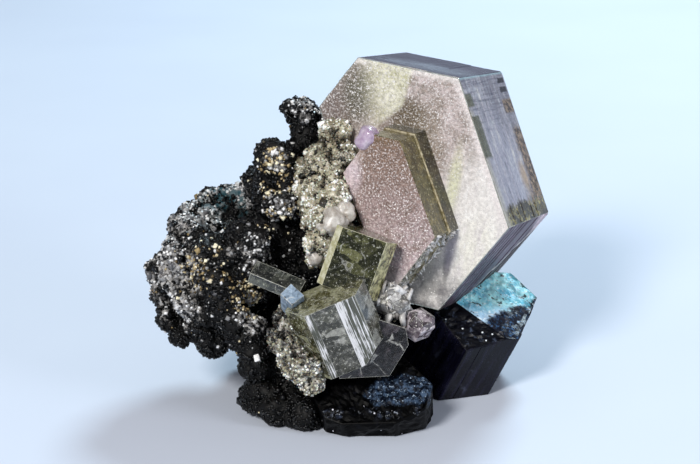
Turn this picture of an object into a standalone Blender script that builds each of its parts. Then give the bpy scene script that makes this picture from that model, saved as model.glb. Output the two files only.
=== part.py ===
"""Apatite specimen: a cluster of apatite crystals grown on a black drusy matrix with two black prisms.

Sizes are in millimetres and are turned into metres by MM. +X is to the right as the specimen faces
the viewer, +Y goes back and +Z is up. The origin lies on the flat underside that the specimen rests on.
"""

import math
import random

import bmesh
import bpy
from mathutils import Matrix, Vector

MM = 0.001
CLEARANCE = 0.3  # kept between pieces that grew against each other
BLOCK = 160.0  # side of the block that every crystal is cut from
PYRAMID_ANGLE = 40.3  # between an apatite's pyramid face and its basal face
SIXTY = 60.0  # between neighbouring faces of a hexagonal prism

LARGE_THICKNESS = 20.3
LARGE_FRONT = Vector((8.9, -0.5, 33.6))
FROSTED_THICKNESS = 10.0
FROSTED_FRONT = Vector((5.5, -7.1, 32.5))
SMOKY_THICKNESS = 5.0
SMOKY_FRONT = Vector((3.17, -16.27, 12.41))

ROCK_VOXEL = 0.8
ROCK_FACES_KEPT = 0.17  # share of the remeshed druse's faces
CRUST_FACES_KEPT = 0.36
LUMP_DETAIL = 2  # subdivisions of each lump's ball
BUDS_PER_MM = 2.4  # small heads on a big lump, for each millimetre of its radius
BUD_SHARE = (0.24, 0.40)  # a head's radius as a share of its lump's
BUD_SUNK = 0.45  # share of a head's radius that is sunk in its lump
BUD_SEED = 31

# Each node's colour, roughness, metallic value and share of light that passes through it.
LOOKS = {
    "large_apatite": ((0.74, 0.73, 0.66), 0.25, 0.0, 0.7),
    "frosted_apatite": ((0.60, 0.50, 0.46), 0.5, 0.0, 0.3),
    "green_apatite": ((0.40, 0.43, 0.20), 0.12, 0.0, 0.8),
    "striated_apatite": ((0.55, 0.57, 0.45), 0.12, 0.0, 0.8),
    "smoky_apatite": ((0.33, 0.29, 0.29), 0.1, 0.0, 0.8),
    "slab_apatite": ((0.50, 0.52, 0.45), 0.15, 0.0, 0.8),
    "diamond_apatite": ((0.60, 0.70, 0.74), 0.15, 0.0, 0.6),
    "small_apatite": ((0.70, 0.62, 0.62), 0.2, 0.0, 0.6),
    "white_apatite": ((0.85, 0.84, 0.82), 0.25, 0.0, 0.5),
    "black_prism": ((0.010, 0.012, 0.020), 0.22, 0.0, 0.0),
    "front_black_crystal": ((0.012, 0.012, 0.014), 0.3, 0.0, 0.0),
    "black_druse": ((0.05, 0.05, 0.05), 0.35, 0.3, 0.0),
    "cream_crust": ((0.62, 0.58, 0.46), 0.6, 0.0, 0.0),
    "front_crust": ((0.66, 0.64, 0.58), 0.55, 0.0, 0.0),
}


def mm(*values):
    return Vector(values) * MM


def clear_scene():
    for thing in list(bpy.data.objects):
        bpy.data.objects.remove(thing, do_unlink=True)


def new_collection(name):
    group = bpy.data.collections.new(name)
    bpy.context.scene.collection.children.link(group)
    return group


def new_material(name):
    """The node's own material, from its colour, roughness, metallic value and clearness in LOOKS."""
    colour, roughness, metallic, clear = LOOKS[name]
    made = bpy.data.materials.new(name)
    made.use_nodes = True
    shader = made.node_tree.nodes["Principled BSDF"]
    shader.inputs["Base Color"].default_value = (*colour, 1.0)
    shader.inputs["Roughness"].default_value = roughness
    shader.inputs["Metallic"].default_value = metallic
    shader.inputs["Transmission Weight"].default_value = clear
    made.diffuse_color = (*colour, 1.0)
    return made


def add_object(name, bm, group):
    mesh = bpy.data.meshes.new(name)
    bmesh.ops.recalc_face_normals(bm, faces=bm.faces)
    bm.to_mesh(mesh)
    bm.free()
    thing = bpy.data.objects.new(name, mesh)
    if name in LOOKS:
        mesh.materials.append(new_material(name))
    group.objects.link(thing)
    return thing


def hexagon(*distances):
    """Six prism faces, anticlockwise about the c axis from face one, each at its own distance."""
    return [(SIXTY * number, distance) for number, distance in enumerate(distances)]


def slice_off(bm, point, normal):
    """Cuts away what lies beyond the plane and closes the cut."""
    geometry = bm.verts[:] + bm.edges[:] + bm.faces[:]
    cut = bmesh.ops.bisect_plane(
        bm, geom=geometry, dist=1e-7, plane_co=point, plane_no=normal, clear_outer=True
    )
    rim = [e for e in cut["geom_cut"] if isinstance(e, bmesh.types.BMEdge)]
    if rim:
        bmesh.ops.edgeloop_fill(bm, edges=rim)


class Crystal:
    """A block cut flat by its prism faces, its two ends, its pyramid faces and any odd cuts."""

    def __init__(self, centre, c_axis, face_one, sides, half_length, setbacks=None, cuts=()):
        self.centre = Vector(centre)
        self.c_axis = Vector(c_axis).normalized()
        self.face_one = Vector(face_one)
        self.face_one -= self.face_one.dot(self.c_axis) * self.c_axis
        self.face_one.normalize()
        self.sides = sides
        self.half_length = half_length
        self.setbacks = setbacks or {}
        self.cuts = cuts

    def side_normal(self, angle):
        return Matrix.Rotation(math.radians(angle), 3, self.c_axis) @ self.face_one

    def planes(self):
        """Each face as a point on it and its outward normal."""
        for angle, distance in self.sides:
            normal = self.side_normal(angle)
            yield self.centre + normal * distance, normal
        for end in (1, -1):
            yield self.centre + self.c_axis * end * self.half_length, self.c_axis * end
        lean = math.radians(PYRAMID_ANGLE)
        for number, setback in self.setbacks.items():
            angle, distance = self.sides[number]
            side = self.side_normal(angle)
            edge = self.centre + self.c_axis * self.half_length + side * (distance - setback)
            yield edge, self.c_axis * math.cos(lean) + side * math.sin(lean)
        for point, normal in self.cuts:
            yield Vector(point), Vector(normal).normalized()

    def solid(self, grown=0.0):
        """The crystal as a bmesh, with every face moved out by grown."""
        bm = bmesh.new()
        bmesh.ops.create_cube(bm, size=BLOCK * MM)
        bmesh.ops.translate(bm, verts=bm.verts, vec=self.centre * MM)
        for point, normal in self.planes():
            slice_off(bm, (point + normal * grown) * MM, normal)
        return bm


def on_the_ground(crystal):
    """The same crystal cut flat where the specimen rests."""
    crystal.cuts = (*crystal.cuts, ((0, 0, 0), (0, 0, -1)))
    return crystal


def large_apatite():
    c_axis = Vector((-0.378, -0.911, 0.168)).normalized()
    return Crystal(
        centre=LARGE_FRONT - c_axis * LARGE_THICKNESS / 2,
        c_axis=c_axis,
        face_one=(0.177, 0.154, 0.972),
        sides=hexagon(16.3, 18.0, 10.2, 18.3, 16.0, 12.3),
        half_length=LARGE_THICKNESS / 2,
    )


def frosted_apatite():
    c_axis = Vector((-0.46, -0.89, 0.08)).normalized()
    return Crystal(
        centre=FROSTED_FRONT - c_axis * FROSTED_THICKNESS / 2,
        c_axis=c_axis,
        face_one=(0.11, 0.03, 0.99),
        sides=hexagon(9.4, 8.2, 5.8, 13.2, 9.3, 5.5),
        half_length=FROSTED_THICKNESS / 2,
    )


def green_apatite():
    return Crystal(
        centre=(0.55, -10.81, 24.5),
        c_axis=(0.336, 0.175, 0.925),
        face_one=(0.025, -0.984, 0.177),
        sides=hexagon(3.5, 4.65, 4.2, 6.5, 2.5, 4.68),
        half_length=4.45,
    )


def striated_apatite():
    return Crystal(
        centre=(-1.44, -14.36, 16.08),
        c_axis=(-0.352, -0.13, 0.927),
        face_one=(0.158, -0.984, -0.078),
        sides=hexagon(4.6, 5.4, 4.3, 2.9, 5.4, 5.92),
        half_length=5.5,
        cuts=[((3.3, -19.0, 13.4), (0.85, -0.25, -0.46))],
    )


def smoky_apatite():
    c_axis = Vector((0.25, -0.951, 0.183)).normalized()
    return Crystal(
        centre=SMOKY_FRONT - c_axis * SMOKY_THICKNESS / 2,
        c_axis=c_axis,
        face_one=(0.03, 0.196, 0.98),
        sides=[(342, 4.75), (282, 5.54), (239, 4.21), (182, 3.67), (107, 5.61), (34, 5.18)],
        half_length=SMOKY_THICKNESS / 2,
    )


def slab_apatite():
    return Crystal(
        centre=(-10.5, -10.9, 21.1),
        c_axis=(0.9, -0.30, -0.29),
        face_one=(0.2, -0.64, 0.735),
        sides=hexagon(1.5, 1.8, 1.6, 1.6, 1.7, 1.8),
        half_length=3.9,
    )


def diamond_apatite():
    return Crystal(
        centre=(-8.3, -14.6, 19.4),
        c_axis=(0.0, -0.663, 0.741),
        face_one=(0.743, 0.29, 0.603),
        sides=[(5, 1.15), (98, 1.3), (184, 1.15), (272, 1.3)],
        half_length=2.4,
    )


def small_apatite():
    return Crystal(
        centre=(10.1, -11.7, 15.0),
        c_axis=(0.3, -0.6, 0.74),
        face_one=(1, 0, 0),
        sides=hexagon(2.0, 1.8, 1.9, 2.0, 1.9, 1.8),
        half_length=1.8,
        setbacks={number: 0.7 for number in range(6)},
    )


def white_apatite():
    return Crystal(
        centre=(6.3, -10.6, 18.1),
        c_axis=(0.25, -0.80, 0.55),
        face_one=(0.5, 0.4, 0.75),
        sides=hexagon(1.9, 2.2, 2.4, 1.8, 2.3, 2.0),
        half_length=2.2,
        setbacks={0: 0.5, 2: 0.9, 4: 0.6},
    )


def black_prism():
    return on_the_ground(
        Crystal(
            centre=(16.6, 4.8, 6.0),
            c_axis=(0.442, -0.024, 0.896),
            face_one=(0.293, -0.941, -0.17),
            sides=hexagon(9.3, 7.9, 8.1, 5.5, 6.5, 7.7),
            half_length=12.0,
            cuts=[
                ((21.1, 4.5, 13.3), (0.28, -0.34, 0.90)),
                ((17.2, 0.7, 13.1), (0.03, -0.632, 0.775)),
            ],
        )
    )


def front_black_crystal():
    sides = [(0, 5.3), (28, 6.6), (75, 8.8), (130, 8.0), (180, 8.0), (240, 7.0), (295, 7.5), (335, 6.4)]
    c_axis = Vector((-0.05, -0.575, 0.818)).normalized()
    top_centre = Vector((2.6, -15.8, 5.9))
    half_length = 6.0
    return on_the_ground(
        Crystal(
            centre=top_centre - c_axis * half_length,
            c_axis=c_axis,
            face_one=(0, -0.818, -0.575),
            sides=sides,
            half_length=half_length,
        )
    )


# Lumps of the matrix, each as x, y, z and radius, grouped as they sit on the specimen.
CORE = [
    (-8, 7, 20, 8.0),
    (-2.4, 2.6, 7, 9.0),
    (-16, 5, 16, 7.5),
    (2, 8, 14, 8.2),
    (-6, 8, 30, 4.8),
    (-19, 11, 18.5, 5.2),
    (-24, 5, 18.5, 4.2),
    (-10, 9, 7, 6.5),
    (8, 9, 6.5, 6.2),
    (-9, -6.5, 5, 6.4),
    (-12, 12, 21, 5.0),
]
FOOT = [(-14, -10.8, 8.6, 2.6), (-12.6, -9.6, 3.0, 3.4), (-6.5, -14.3, 2.5, 3.0), (-10.8, -13.2, 2.0, 2.4)]
TOP_KNOT = [(-6.7, 9.4, 37.0, 3.0), (-7.1, 9.3, 41.0, 2.3), (-4.9, 10.1, 40.3, 1.6), (-8.8, 9.6, 42.0, 1.3)]
BALLS = [(-11.1, 4.4, 35.4, 3.0), (-9.9, -1.9, 29.9, 2.3), (-10.0, 3.0, 30.5, 4.5), (-13.6, 8.8, 29.7, 3.0)]
BACK_RIDGE = [
    (-25.2, 8.4, 23.4, 2.6),
    (-23.8, 12.0, 23.6, 2.8),
    (-21.4, 14.5, 24.4, 3.0),
    (-18.6, 16.0, 24.4, 3.1),
    (-15.2, 15.6, 25.0, 3.2),
    (-11.5, 13.5, 26.5, 4.0),
]
LEFT_WALL = [
    (-25.5, 2.9, 23.6, 2.6),
    (-25.6, -0.6, 22.0, 2.6),
    (-23.8, -3.8, 21.8, 2.3),
    (-28.7, -0.8, 19.6, 2.0),
    (-26.6, -2.8, 17.9, 2.4),
    (-28.0, -2.4, 16.3, 1.7),
    (-23.5, 1.5, 19.0, 5.0),
]
MIDDLE = [
    (-15.0, -4.6, 25.3, 3.0),
    (-16.2, -6.6, 22.6, 2.5),
    (-20.4, -4.2, 23.4, 2.5),
    (-20.0, -6.9, 21.2, 2.8),
    (-22.2, -1.3, 23.9, 2.3),
    (-16.5, -2.0, 20.0, 6.0),
]
LOWER_LEFT = [
    (-23.5, -6.2, 17.0, 2.5),
    (-18.3, -8.8, 17.8, 2.8),
    (-27.2, -3.4, 13.6, 2.0),
    (-21.4, -8.0, 14.2, 2.5),
    (-25.0, -4.9, 11.4, 2.3),
    (-16.8, -9.6, 14.6, 2.6),
    (-20.4, -6.2, 10.6, 2.5),
    (-14.7, -9.6, 12.0, 3.0),
    (-20.0, -2.0, 15.0, 6.0),
]
CREAM_LUMPS = [
    (-2.2, 3.5, 39.4, 2.1),
    (-4.5, 0.9, 36.7, 2.1),
    (-0.9, -1.8, 37.2, 1.8),
    (-2.6, -0.6, 36.4, 2.2),
    (-4.7, -2.0, 33.4, 2.3),
    (-2.5, -5.4, 32.2, 2.0),
    (-7.4, 0.2, 31.2, 2.2),
    (-5.6, -4.8, 28.9, 2.1),
    (-3.2, -8.0, 29.6, 2.2),
    (-4.1, -8.6, 26.6, 2.2),
    (-4.7, -9.0, 23.3, 1.7),
    (-7.5, 2.0, 33.4, 2.2),
    (-3.0, -1.5, 30.0, 4.6),
    (-1.5, -4.0, 26.0, 4.2),
]
FRONT_LUMPS = [
    (-11.4, -12.8, 15.6, 1.9),
    (-9.6, -15.0, 13.5, 2.1),
    (-8.0, -14.6, 15.8, 1.6),
    (-7.2, -16.3, 10.8, 2.1),
    (-5.5, -16.5, 7.9, 1.9),
    (-4.8, -17.4, 11.0, 1.5),
    (-7.0, -13.0, 10.0, 3.4),
    (-9.5, -12.0, 16.0, 2.4),
]

# Boxes that part the crusts from the black matrix: centre, half sizes, turn about X, Y and Z.
CREAM_ZONE = ((-1.2, -2.0, 31.6), (6.4, 9.0, 10.4), (20, -14, -12))
FRONT_ZONE = ((-7.2, -17.6, 11.4), (6.0, 5.6, 6.6), (-6, 12, -24))
GROUND = ((0, 0, -20), (60, 60, 20), (0, 0, 0))


def zone(name, box, grown, group):
    centre, half, turn = box
    bm = bmesh.new()
    bmesh.ops.create_cube(bm, size=1.0)
    bmesh.ops.scale(bm, vec=mm(*(2 * (side + grown) for side in half)), verts=bm.verts)
    turned = Matrix.Rotation(math.radians(turn[2]), 3, "Z")
    turned = turned @ Matrix.Rotation(math.radians(turn[1]), 3, "Y")
    turned = turned @ Matrix.Rotation(math.radians(turn[0]), 3, "X")
    bmesh.ops.rotate(bm, cent=(0, 0, 0), matrix=turned, verts=bm.verts)
    bmesh.ops.translate(bm, vec=mm(*centre), verts=bm.verts)
    return as_helper(add_object(name, bm, group))


def as_helper(thing):
    thing.hide_render = True
    thing.display_type = "WIRE"
    return thing


def budded(lumps):
    """Adds smaller heads all over each big lump, as a druse grows."""
    chance = random.Random(BUD_SEED)
    heads = []
    for x, y, z, radius in lumps:
        for _ in range(round(radius * BUDS_PER_MM)):
            outward = Vector([chance.gauss(0, 1) for _ in range(3)]).normalized()
            size = radius * chance.uniform(*BUD_SHARE)
            middle = Vector((x, y, z)) + outward * (radius - size * BUD_SUNK)
            heads.append((*middle, size))
    return lumps + heads


def lump_object(name, lumps, faces_kept, group):
    """Balls fused into one skin by a voxel remesh, then thinned to flat facets."""
    bm = bmesh.new()
    for x, y, z, radius in lumps:
        bmesh.ops.create_icosphere(
            bm, subdivisions=LUMP_DETAIL, radius=radius * MM, matrix=Matrix.Translation(mm(x, y, z))
        )
    thing = add_object(name, bm, group)
    skin = thing.modifiers.new("fuse", "REMESH")
    skin.mode = "VOXEL"
    skin.voxel_size = ROCK_VOXEL * MM
    thin = thing.modifiers.new("facets", "DECIMATE")
    thin.ratio = faces_kept
    return thing


def add_boolean(thing, other, operation):
    step = thing.modifiers.new(f"{operation.lower()} {other.name}", "BOOLEAN")
    step.operation = operation
    step.object = other
    step.solver = "EXACT"


CRYSTALS = {
    "large_apatite": large_apatite,
    "black_prism": black_prism,
    "frosted_apatite": frosted_apatite,
    "green_apatite": green_apatite,
    "striated_apatite": striated_apatite,
    "smoky_apatite": smoky_apatite,
    "diamond_apatite": diamond_apatite,
    "slab_apatite": slab_apatite,
    "small_apatite": small_apatite,
    "white_apatite": white_apatite,
    "front_black_crystal": front_black_crystal,
}


def build():
    clear_scene()
    specimen = new_collection("apatite specimen")
    helpers = new_collection("cutters")
    cutters = {}
    for name, make in CRYSTALS.items():
        crystal = make()
        thing = add_object(name, crystal.solid(), specimen)
        for cutter in cutters.values():
            add_boolean(thing, cutter, "DIFFERENCE")
        grown = add_object(f"{name} room", crystal.solid(grown=CLEARANCE), helpers)
        cutters[name] = as_helper(grown)

    black_lumps = budded(CORE) + FOOT + TOP_KNOT + BALLS + BACK_RIDGE + LEFT_WALL + MIDDLE + LOWER_LEFT
    matrix = lump_object("black_druse", black_lumps, ROCK_FACES_KEPT, specimen)
    crust = lump_object("cream_crust", CREAM_LUMPS, CRUST_FACES_KEPT, specimen)
    front = lump_object("front_crust", FRONT_LUMPS, CRUST_FACES_KEPT, specimen)
    add_boolean(crust, zone("cream zone", CREAM_ZONE, 0.0, helpers), "INTERSECT")
    add_boolean(front, zone("front zone", FRONT_ZONE, 0.0, helpers), "INTERSECT")
    add_boolean(matrix, zone("cream room", CREAM_ZONE, CLEARANCE, helpers), "DIFFERENCE")
    add_boolean(matrix, zone("front room", FRONT_ZONE, CLEARANCE, helpers), "DIFFERENCE")
    add_boolean(matrix, zone("ground", GROUND, 0.0, helpers), "DIFFERENCE")
    for thing in (matrix, crust, front):
        for cutter in cutters.values():
            add_boolean(thing, cutter, "DIFFERENCE")


build()
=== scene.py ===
"""Looks of the apatite specimen: clear and frosted crystals, two black ones, black druse and pale crusts.

Sizes and places are in millimetres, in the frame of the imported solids, and MM turns them into metres.
Colours are written as they look on a screen, and tint turns them into the light that they reflect.
"""

import math

import bmesh
import bpy
import numpy as np
from mathutils import Matrix, Vector, noise


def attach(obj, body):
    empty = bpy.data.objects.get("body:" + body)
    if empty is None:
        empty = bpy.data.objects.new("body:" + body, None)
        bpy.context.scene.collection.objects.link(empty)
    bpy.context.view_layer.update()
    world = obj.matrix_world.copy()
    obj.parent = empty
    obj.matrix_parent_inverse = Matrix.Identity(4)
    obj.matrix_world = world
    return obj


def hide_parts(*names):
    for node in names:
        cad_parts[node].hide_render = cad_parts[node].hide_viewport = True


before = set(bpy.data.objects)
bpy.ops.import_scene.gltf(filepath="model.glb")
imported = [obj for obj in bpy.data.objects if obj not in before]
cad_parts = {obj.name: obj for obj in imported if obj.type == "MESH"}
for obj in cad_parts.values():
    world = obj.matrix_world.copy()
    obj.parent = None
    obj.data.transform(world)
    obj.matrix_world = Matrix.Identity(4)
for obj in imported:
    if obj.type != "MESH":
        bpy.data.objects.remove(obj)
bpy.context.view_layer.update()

MM = 0.001
BLOCK = 160.0  # side of the block that every crystal is cut from
SIXTY = 60.0
APATITE_IOR = 1.63
FLAT_REACH = 9.0  # how far a patch on a flat face reaches out of it
PYRAMID_ANGLE = 40.3
CONTACT = 0.03  # between pieces that grew against each other
EDGE = 0.05  # width of the worn edge on a small crystal
STRIP_BEVEL = 0.02  # how much narrower a raised strip is at its top
NOISE_SEED = 7
FLAKE_SEED = 50
SHARD_SEED = 61
noise.seed_set(NOISE_SEED)  # without it the noise vectors change from run to run

LARGE_THICKNESS = 20.3
LARGE_FRONT = Vector((8.9, -0.5, 33.6))
LARGE_AXIS = Vector((-0.378, -0.911, 0.168))
LARGE_UP = Vector((0.177, 0.154, 0.972))
LARGE_SIDES = (16.3, 18.0, 10.2, 18.3, 16.0, 12.3)
FROSTED_THICKNESS = 10.0
FROSTED_FRONT = Vector((5.5, -7.1, 32.5))
FROSTED_AXIS = Vector((-0.46, -0.89, 0.08))
FROSTED_UP = Vector((0.11, 0.03, 0.99))
FROSTED_SIDES = (9.4, 8.2, 5.8, 13.2, 9.3, 5.5)
SMOKY_THICKNESS = 5.0
SMOKY_FRONT = Vector((3.17, -16.27, 12.41))


def tint(red, green, blue):
    """A colour as seen on a screen, as reflected light."""
    return tuple(value ** 2.2 for value in (red, green, blue))


def mm(*values):
    return Vector(values) * MM


class Axes:
    """A place with directions right, up and out, for what belongs to one face."""

    def __init__(self, origin, right, up):
        self.origin = Vector(origin)
        self.up = Vector(up).normalized()
        self.out = Vector(right).cross(self.up).normalized()
        self.right = self.up.cross(self.out)

    def turn(self):
        return Matrix((self.right, self.up, self.out)).transposed()

    def at(self, x, y, z=0.0):
        return self.origin + self.right * x + self.up * y + self.out * z


WORLD = Axes((0, 0, 0), (1, 0, 0), (0, 1, 0))


class Wire:
    """One value in a material: sums and products of it are Math nodes."""

    def __init__(self, look, socket):
        self.look = look
        self.socket = socket

    def math(self, operation, *values):
        return self.look.node("ShaderNodeMath", {"operation": operation}, dict(enumerate(values)))

    def __add__(self, other):
        return self.math("ADD", self, other)

    __radd__ = __add__

    def __sub__(self, other):
        return self.math("SUBTRACT", self, other)

    def __rsub__(self, other):
        return self.math("SUBTRACT", other, self)

    def __mul__(self, other):
        return self.math("MULTIPLY", self, other)

    __rmul__ = __mul__

    def __lt__(self, other):
        return self.math("LESS_THAN", self, other)

    def __gt__(self, other):
        return self.math("GREATER_THAN", self, other)


class Look:
    """One material and the nodes that it is made of. Its places are millimetres along its own axes."""

    def __init__(self, name, axes=WORLD):
        self.material = bpy.data.materials.new(name)
        self.material.use_nodes = True
        self.tree = self.material.node_tree
        self.tree.nodes.clear()
        self.here = self.place(axes) if axes else None

    def node(self, kind, settings=(), sockets=(), output=0):
        made = self.tree.nodes.new(kind)
        for name, value in dict(settings).items():
            if name == "stops":
                self.set_stops(made.color_ramp, value)
            else:
                setattr(made, name, value)
        for key, value in dict(sockets).items():
            socket = made.inputs[key]
            if isinstance(value, Wire):
                self.tree.links.new(value.socket, socket)
            elif socket.type == "RGBA" and len(value) == 3:
                socket.default_value = (*tint(*value), 1.0)
            else:
                socket.default_value = value
        return Wire(self, made.outputs[output])

    @staticmethod
    def set_stops(ramp, stops):
        while len(ramp.elements) > 1:
            ramp.elements.remove(ramp.elements[0])
        for number, (place, colour) in enumerate(stops):
            stop = ramp.elements[0] if number == 0 else ramp.elements.new(place)
            stop.position = place
            stop.color = (*tint(*colour), 1.0)

    def place(self, axes):
        """Where a point of the piece is, in millimetres along the axes."""
        sockets = {
            "Vector": self.node("ShaderNodeTexCoord", output="Object"),
            "Location": axes.origin * MM,
            "Rotation": axes.turn().to_euler(),
            "Scale": (MM, MM, MM),
        }
        return self.node("ShaderNodeMapping", {"vector_type": "TEXTURE"}, sockets)

    def vector(self, operation, first, second, output=0):
        return self.node("ShaderNodeVectorMath", {"operation": operation}, {0: first, 1: second}, output)

    def stretched(self, place, x, y, z):
        return self.vector("MULTIPLY", place, (x, y, z))

    def noise(self, size, detail=3.0, rough=0.55, warp=0.0, stretch=None, place=None):
        """Soft clouds whose largest swirls are about size across."""
        place = place or self.here
        if stretch:
            place = self.stretched(place, *stretch)
        sockets = {"Vector": place, "Scale": 1 / size, "Detail": detail, "Roughness": rough}
        sockets["Distortion"] = warp
        return self.node("ShaderNodeTexNoise", (), sockets)

    def cells(self, place, size, output="Distance", feature="F1", metric="EUCLIDEAN"):
        settings = {"feature": feature, "distance": metric}
        return self.node("ShaderNodeTexVoronoi", settings, {"Vector": place, "Scale": 1 / size}, output)

    def part(self, output, vector=None):
        return self.node("ShaderNodeSeparateXYZ", (), {"Vector": vector or self.here}, output)

    def step(self, value, low, high):
        """0 below low and 1 above high, smooth between them. High may be the smaller one."""
        sockets = {"Value": value, "From Min": low, "From Max": high, "To Min": 0.0, "To Max": 1.0}
        if low > high:
            sockets.update({"From Min": high, "From Max": low, "To Min": 1.0, "To Max": 0.0})
        return self.node("ShaderNodeMapRange", {"interpolation_type": "SMOOTHSTEP"}, sockets)

    def between(self, value, start, full, still, end):
        """1 from full to still, and 0 before start and after end."""
        return self.step(value, start, full) * self.step(value, end, still)

    def blob(self, centre, radii, soft=0.5):
        """1 inside a rounded patch and 0 outside it. A patch on a flat face needs no third measure."""
        if len(centre) == 2:
            centre, radii = (*centre, 0.0), (*radii, FLAT_REACH)
        away = self.vector("SUBTRACT", self.here, centre)
        shares = self.vector("MULTIPLY", away, tuple(1 / radius for radius in radii))
        length = self.node("ShaderNodeVectorMath", {"operation": "LENGTH"}, {0: shares}, "Value")
        return self.step(length, 1 + soft, 1 - soft)

    def towards(self, direction):
        """How far a point lies in a direction."""
        return self.vector("DOT_PRODUCT", self.here, direction, "Value")

    def beyond(self, point, direction, soft):
        """1 on the side of a line that direction points to and 0 on the other side."""
        way = Vector((*direction, 0.0)).normalized()
        edge = way.x * point[0] + way.y * point[1]
        return self.step(self.towards(way), edge - soft, edge + soft)

    def mix(self, mask, below, above, blend="MIX"):
        settings = {"data_type": "RGBA", "blend_type": blend}
        return self.node("ShaderNodeMix", settings, {0: mask, 6: below, 7: above}, 2)

    def toned(self, value, low, high, dark, pale):
        """Dark where a value is below low, and pale where it is above high."""
        return self.mix(self.step(value, low, high), dark, pale)

    def glints(self, spacing, share, size=0.34):
        """1 on a share of fine grains, each about size times the spacing across, where painted glints go."""
        near = self.cells(self.here, spacing) < size
        chance = self.part("X", self.cells(self.here, spacing, "Color"))
        return near * (chance < share)

    def sparkle_specks(self, size, low, high):
        """1 on the brightest specks of a fine uneven grain, where painted sparkle goes."""
        return self.step(self.noise(size, 2.0, 0.8), low, high)

    def grained(self, colour, size, low=0.7, high=1.35):
        """The colour, darker and lighter by turns in an uneven grain about size across."""
        spread = self.step(self.noise(size, 3.0, 0.7), 0.3, 0.7) * (high - low) + low
        return self.mix(1.0, colour, spread, "MULTIPLY")

    def layered(self, colour, layers):
        """The colour under layers: each a mask, or a value and its step's two ends, then a shade and its strength."""
        for *mask, shade, strength in layers:
            cover = self.step(*mask) if len(mask) > 1 else mask[0]
            colour = self.mix(cover * strength, colour, shade)
        return colour

    def ramp(self, attribute, stops):
        """The colour among the stops for a value that the piece's mesh holds at each point."""
        return self.node("ShaderNodeValToRGB", {"stops": stops}, {"Fac": self.named(attribute)}, "Color")

    def named(self, attribute):
        """A value that the piece's mesh holds at each point."""
        return self.node("ShaderNodeAttribute", {"attribute_name": attribute}, output="Fac")

    def bump(self, height, depth, strength=1.0):
        sockets = {"Height": height, "Distance": depth * MM, "Strength": strength}
        return self.node("ShaderNodeBump", (), sockets, "Normal")

    def surface(self, colour, roughness, bump=None, absorb=None, clear=0.0, **others):
        """Ends the material. Bump is a height, its depth and its strength, and absorb is the clear inside's
        colour and density. Clear is the share of light let through, and others are the shader's own sockets.
        """
        sockets = {"Base Color": colour, "Roughness": roughness}
        if clear:
            sockets.update({"Transmission Weight": clear, "IOR": APATITE_IOR})
        if bump:
            sockets["Normal"] = self.bump(*bump)
        sockets.update({name.replace("_", " "): value for name, value in others.items()})
        ends = {"Surface": self.node("ShaderNodeBsdfPrincipled", (), sockets)}
        if absorb:
            sockets = {"Color": absorb[0], "Density": absorb[1]}
            ends["Volume"] = self.node("ShaderNodeVolumeAbsorption", (), sockets)
        output = self.tree.nodes.new("ShaderNodeOutputMaterial")
        for name, wire in ends.items():
            self.tree.links.new(wire.socket, output.inputs[name])
        return self.material


def hexagon(*distances):
    """Six prism faces, anticlockwise about the c axis from face one, each at its own distance."""
    return [(SIXTY * number, distance) for number, distance in enumerate(distances)]


def slice_off(bm, point, normal):
    """Cuts away what lies beyond the plane and closes the cut."""
    geometry = bm.verts[:] + bm.edges[:] + bm.faces[:]
    cut = bmesh.ops.bisect_plane(
        bm, geom=geometry, dist=1e-7, plane_co=point, plane_no=normal, clear_outer=True
    )
    rim = [e for e in cut["geom_cut"] if isinstance(e, bmesh.types.BMEdge)]
    if rim:
        bmesh.ops.edgeloop_fill(bm, edges=rim)


class Crystal:
    """A block cut flat by its prism faces, its two ends, its pyramid faces and any odd cuts."""

    def __init__(self, centre, c_axis, face_one, sides, half_length, setbacks=None, cuts=(), resting=False):
        self.centre = Vector(centre)
        self.c_axis = Vector(c_axis).normalized()
        self.face_one = Vector(face_one)
        self.face_one -= self.face_one.dot(self.c_axis) * self.c_axis
        self.face_one.normalize()
        self.sides = sides
        self.half_length = half_length
        self.setbacks = setbacks or {}
        self.cuts = list(cuts)
        if resting:
            self.cuts.append(((0, 0, 0), (0, 0, -1)))

    def side_normal(self, angle):
        return Matrix.Rotation(math.radians(angle), 3, self.c_axis) @ self.face_one

    def planes(self):
        """Each face as a point on it and its outward normal."""
        for angle, distance in self.sides:
            normal = self.side_normal(angle)
            yield self.centre + normal * distance, normal
        for end in (1, -1):
            yield self.centre + self.c_axis * end * self.half_length, self.c_axis * end
        lean = math.radians(PYRAMID_ANGLE)
        for number, setback in self.setbacks.items():
            angle, distance = self.sides[number]
            side = self.side_normal(angle)
            edge = self.centre + self.c_axis * self.half_length + side * (distance - setback)
            yield edge, self.c_axis * math.cos(lean) + side * math.sin(lean)
        for point, normal in self.cuts:
            yield Vector(point), Vector(normal).normalized()

    def solid(self, grown=0.0):
        """The crystal as a bmesh, with every face moved out by grown."""
        bm = bmesh.new()
        bmesh.ops.create_cube(bm, size=BLOCK * MM)
        bmesh.ops.translate(bm, verts=bm.verts, vec=self.centre * MM)
        for point, normal in self.planes():
            slice_off(bm, (point + normal * grown) * MM, normal)
        bmesh.ops.recalc_face_normals(bm, faces=bm.faces)
        return bm

    def face(self, number):
        """The axes of one prism face: up is across the crystal and right is along it, towards the back."""
        angle, distance = self.sides[number]
        normal = self.side_normal(angle)
        return Axes(self.centre + normal * distance, -self.c_axis, normal.cross(-self.c_axis))

    def front(self):
        """The axes of the end face at the front: up is face one's own direction."""
        return Axes(
            self.centre + self.c_axis * self.half_length, self.face_one.cross(self.c_axis), self.face_one
        )


def tablet(front, axis, up, sides, thickness):
    """A flat crystal by the middle of its front face."""
    return Crystal(front - axis.normalized() * thickness / 2, axis, up, sides, thickness / 2)


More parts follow.
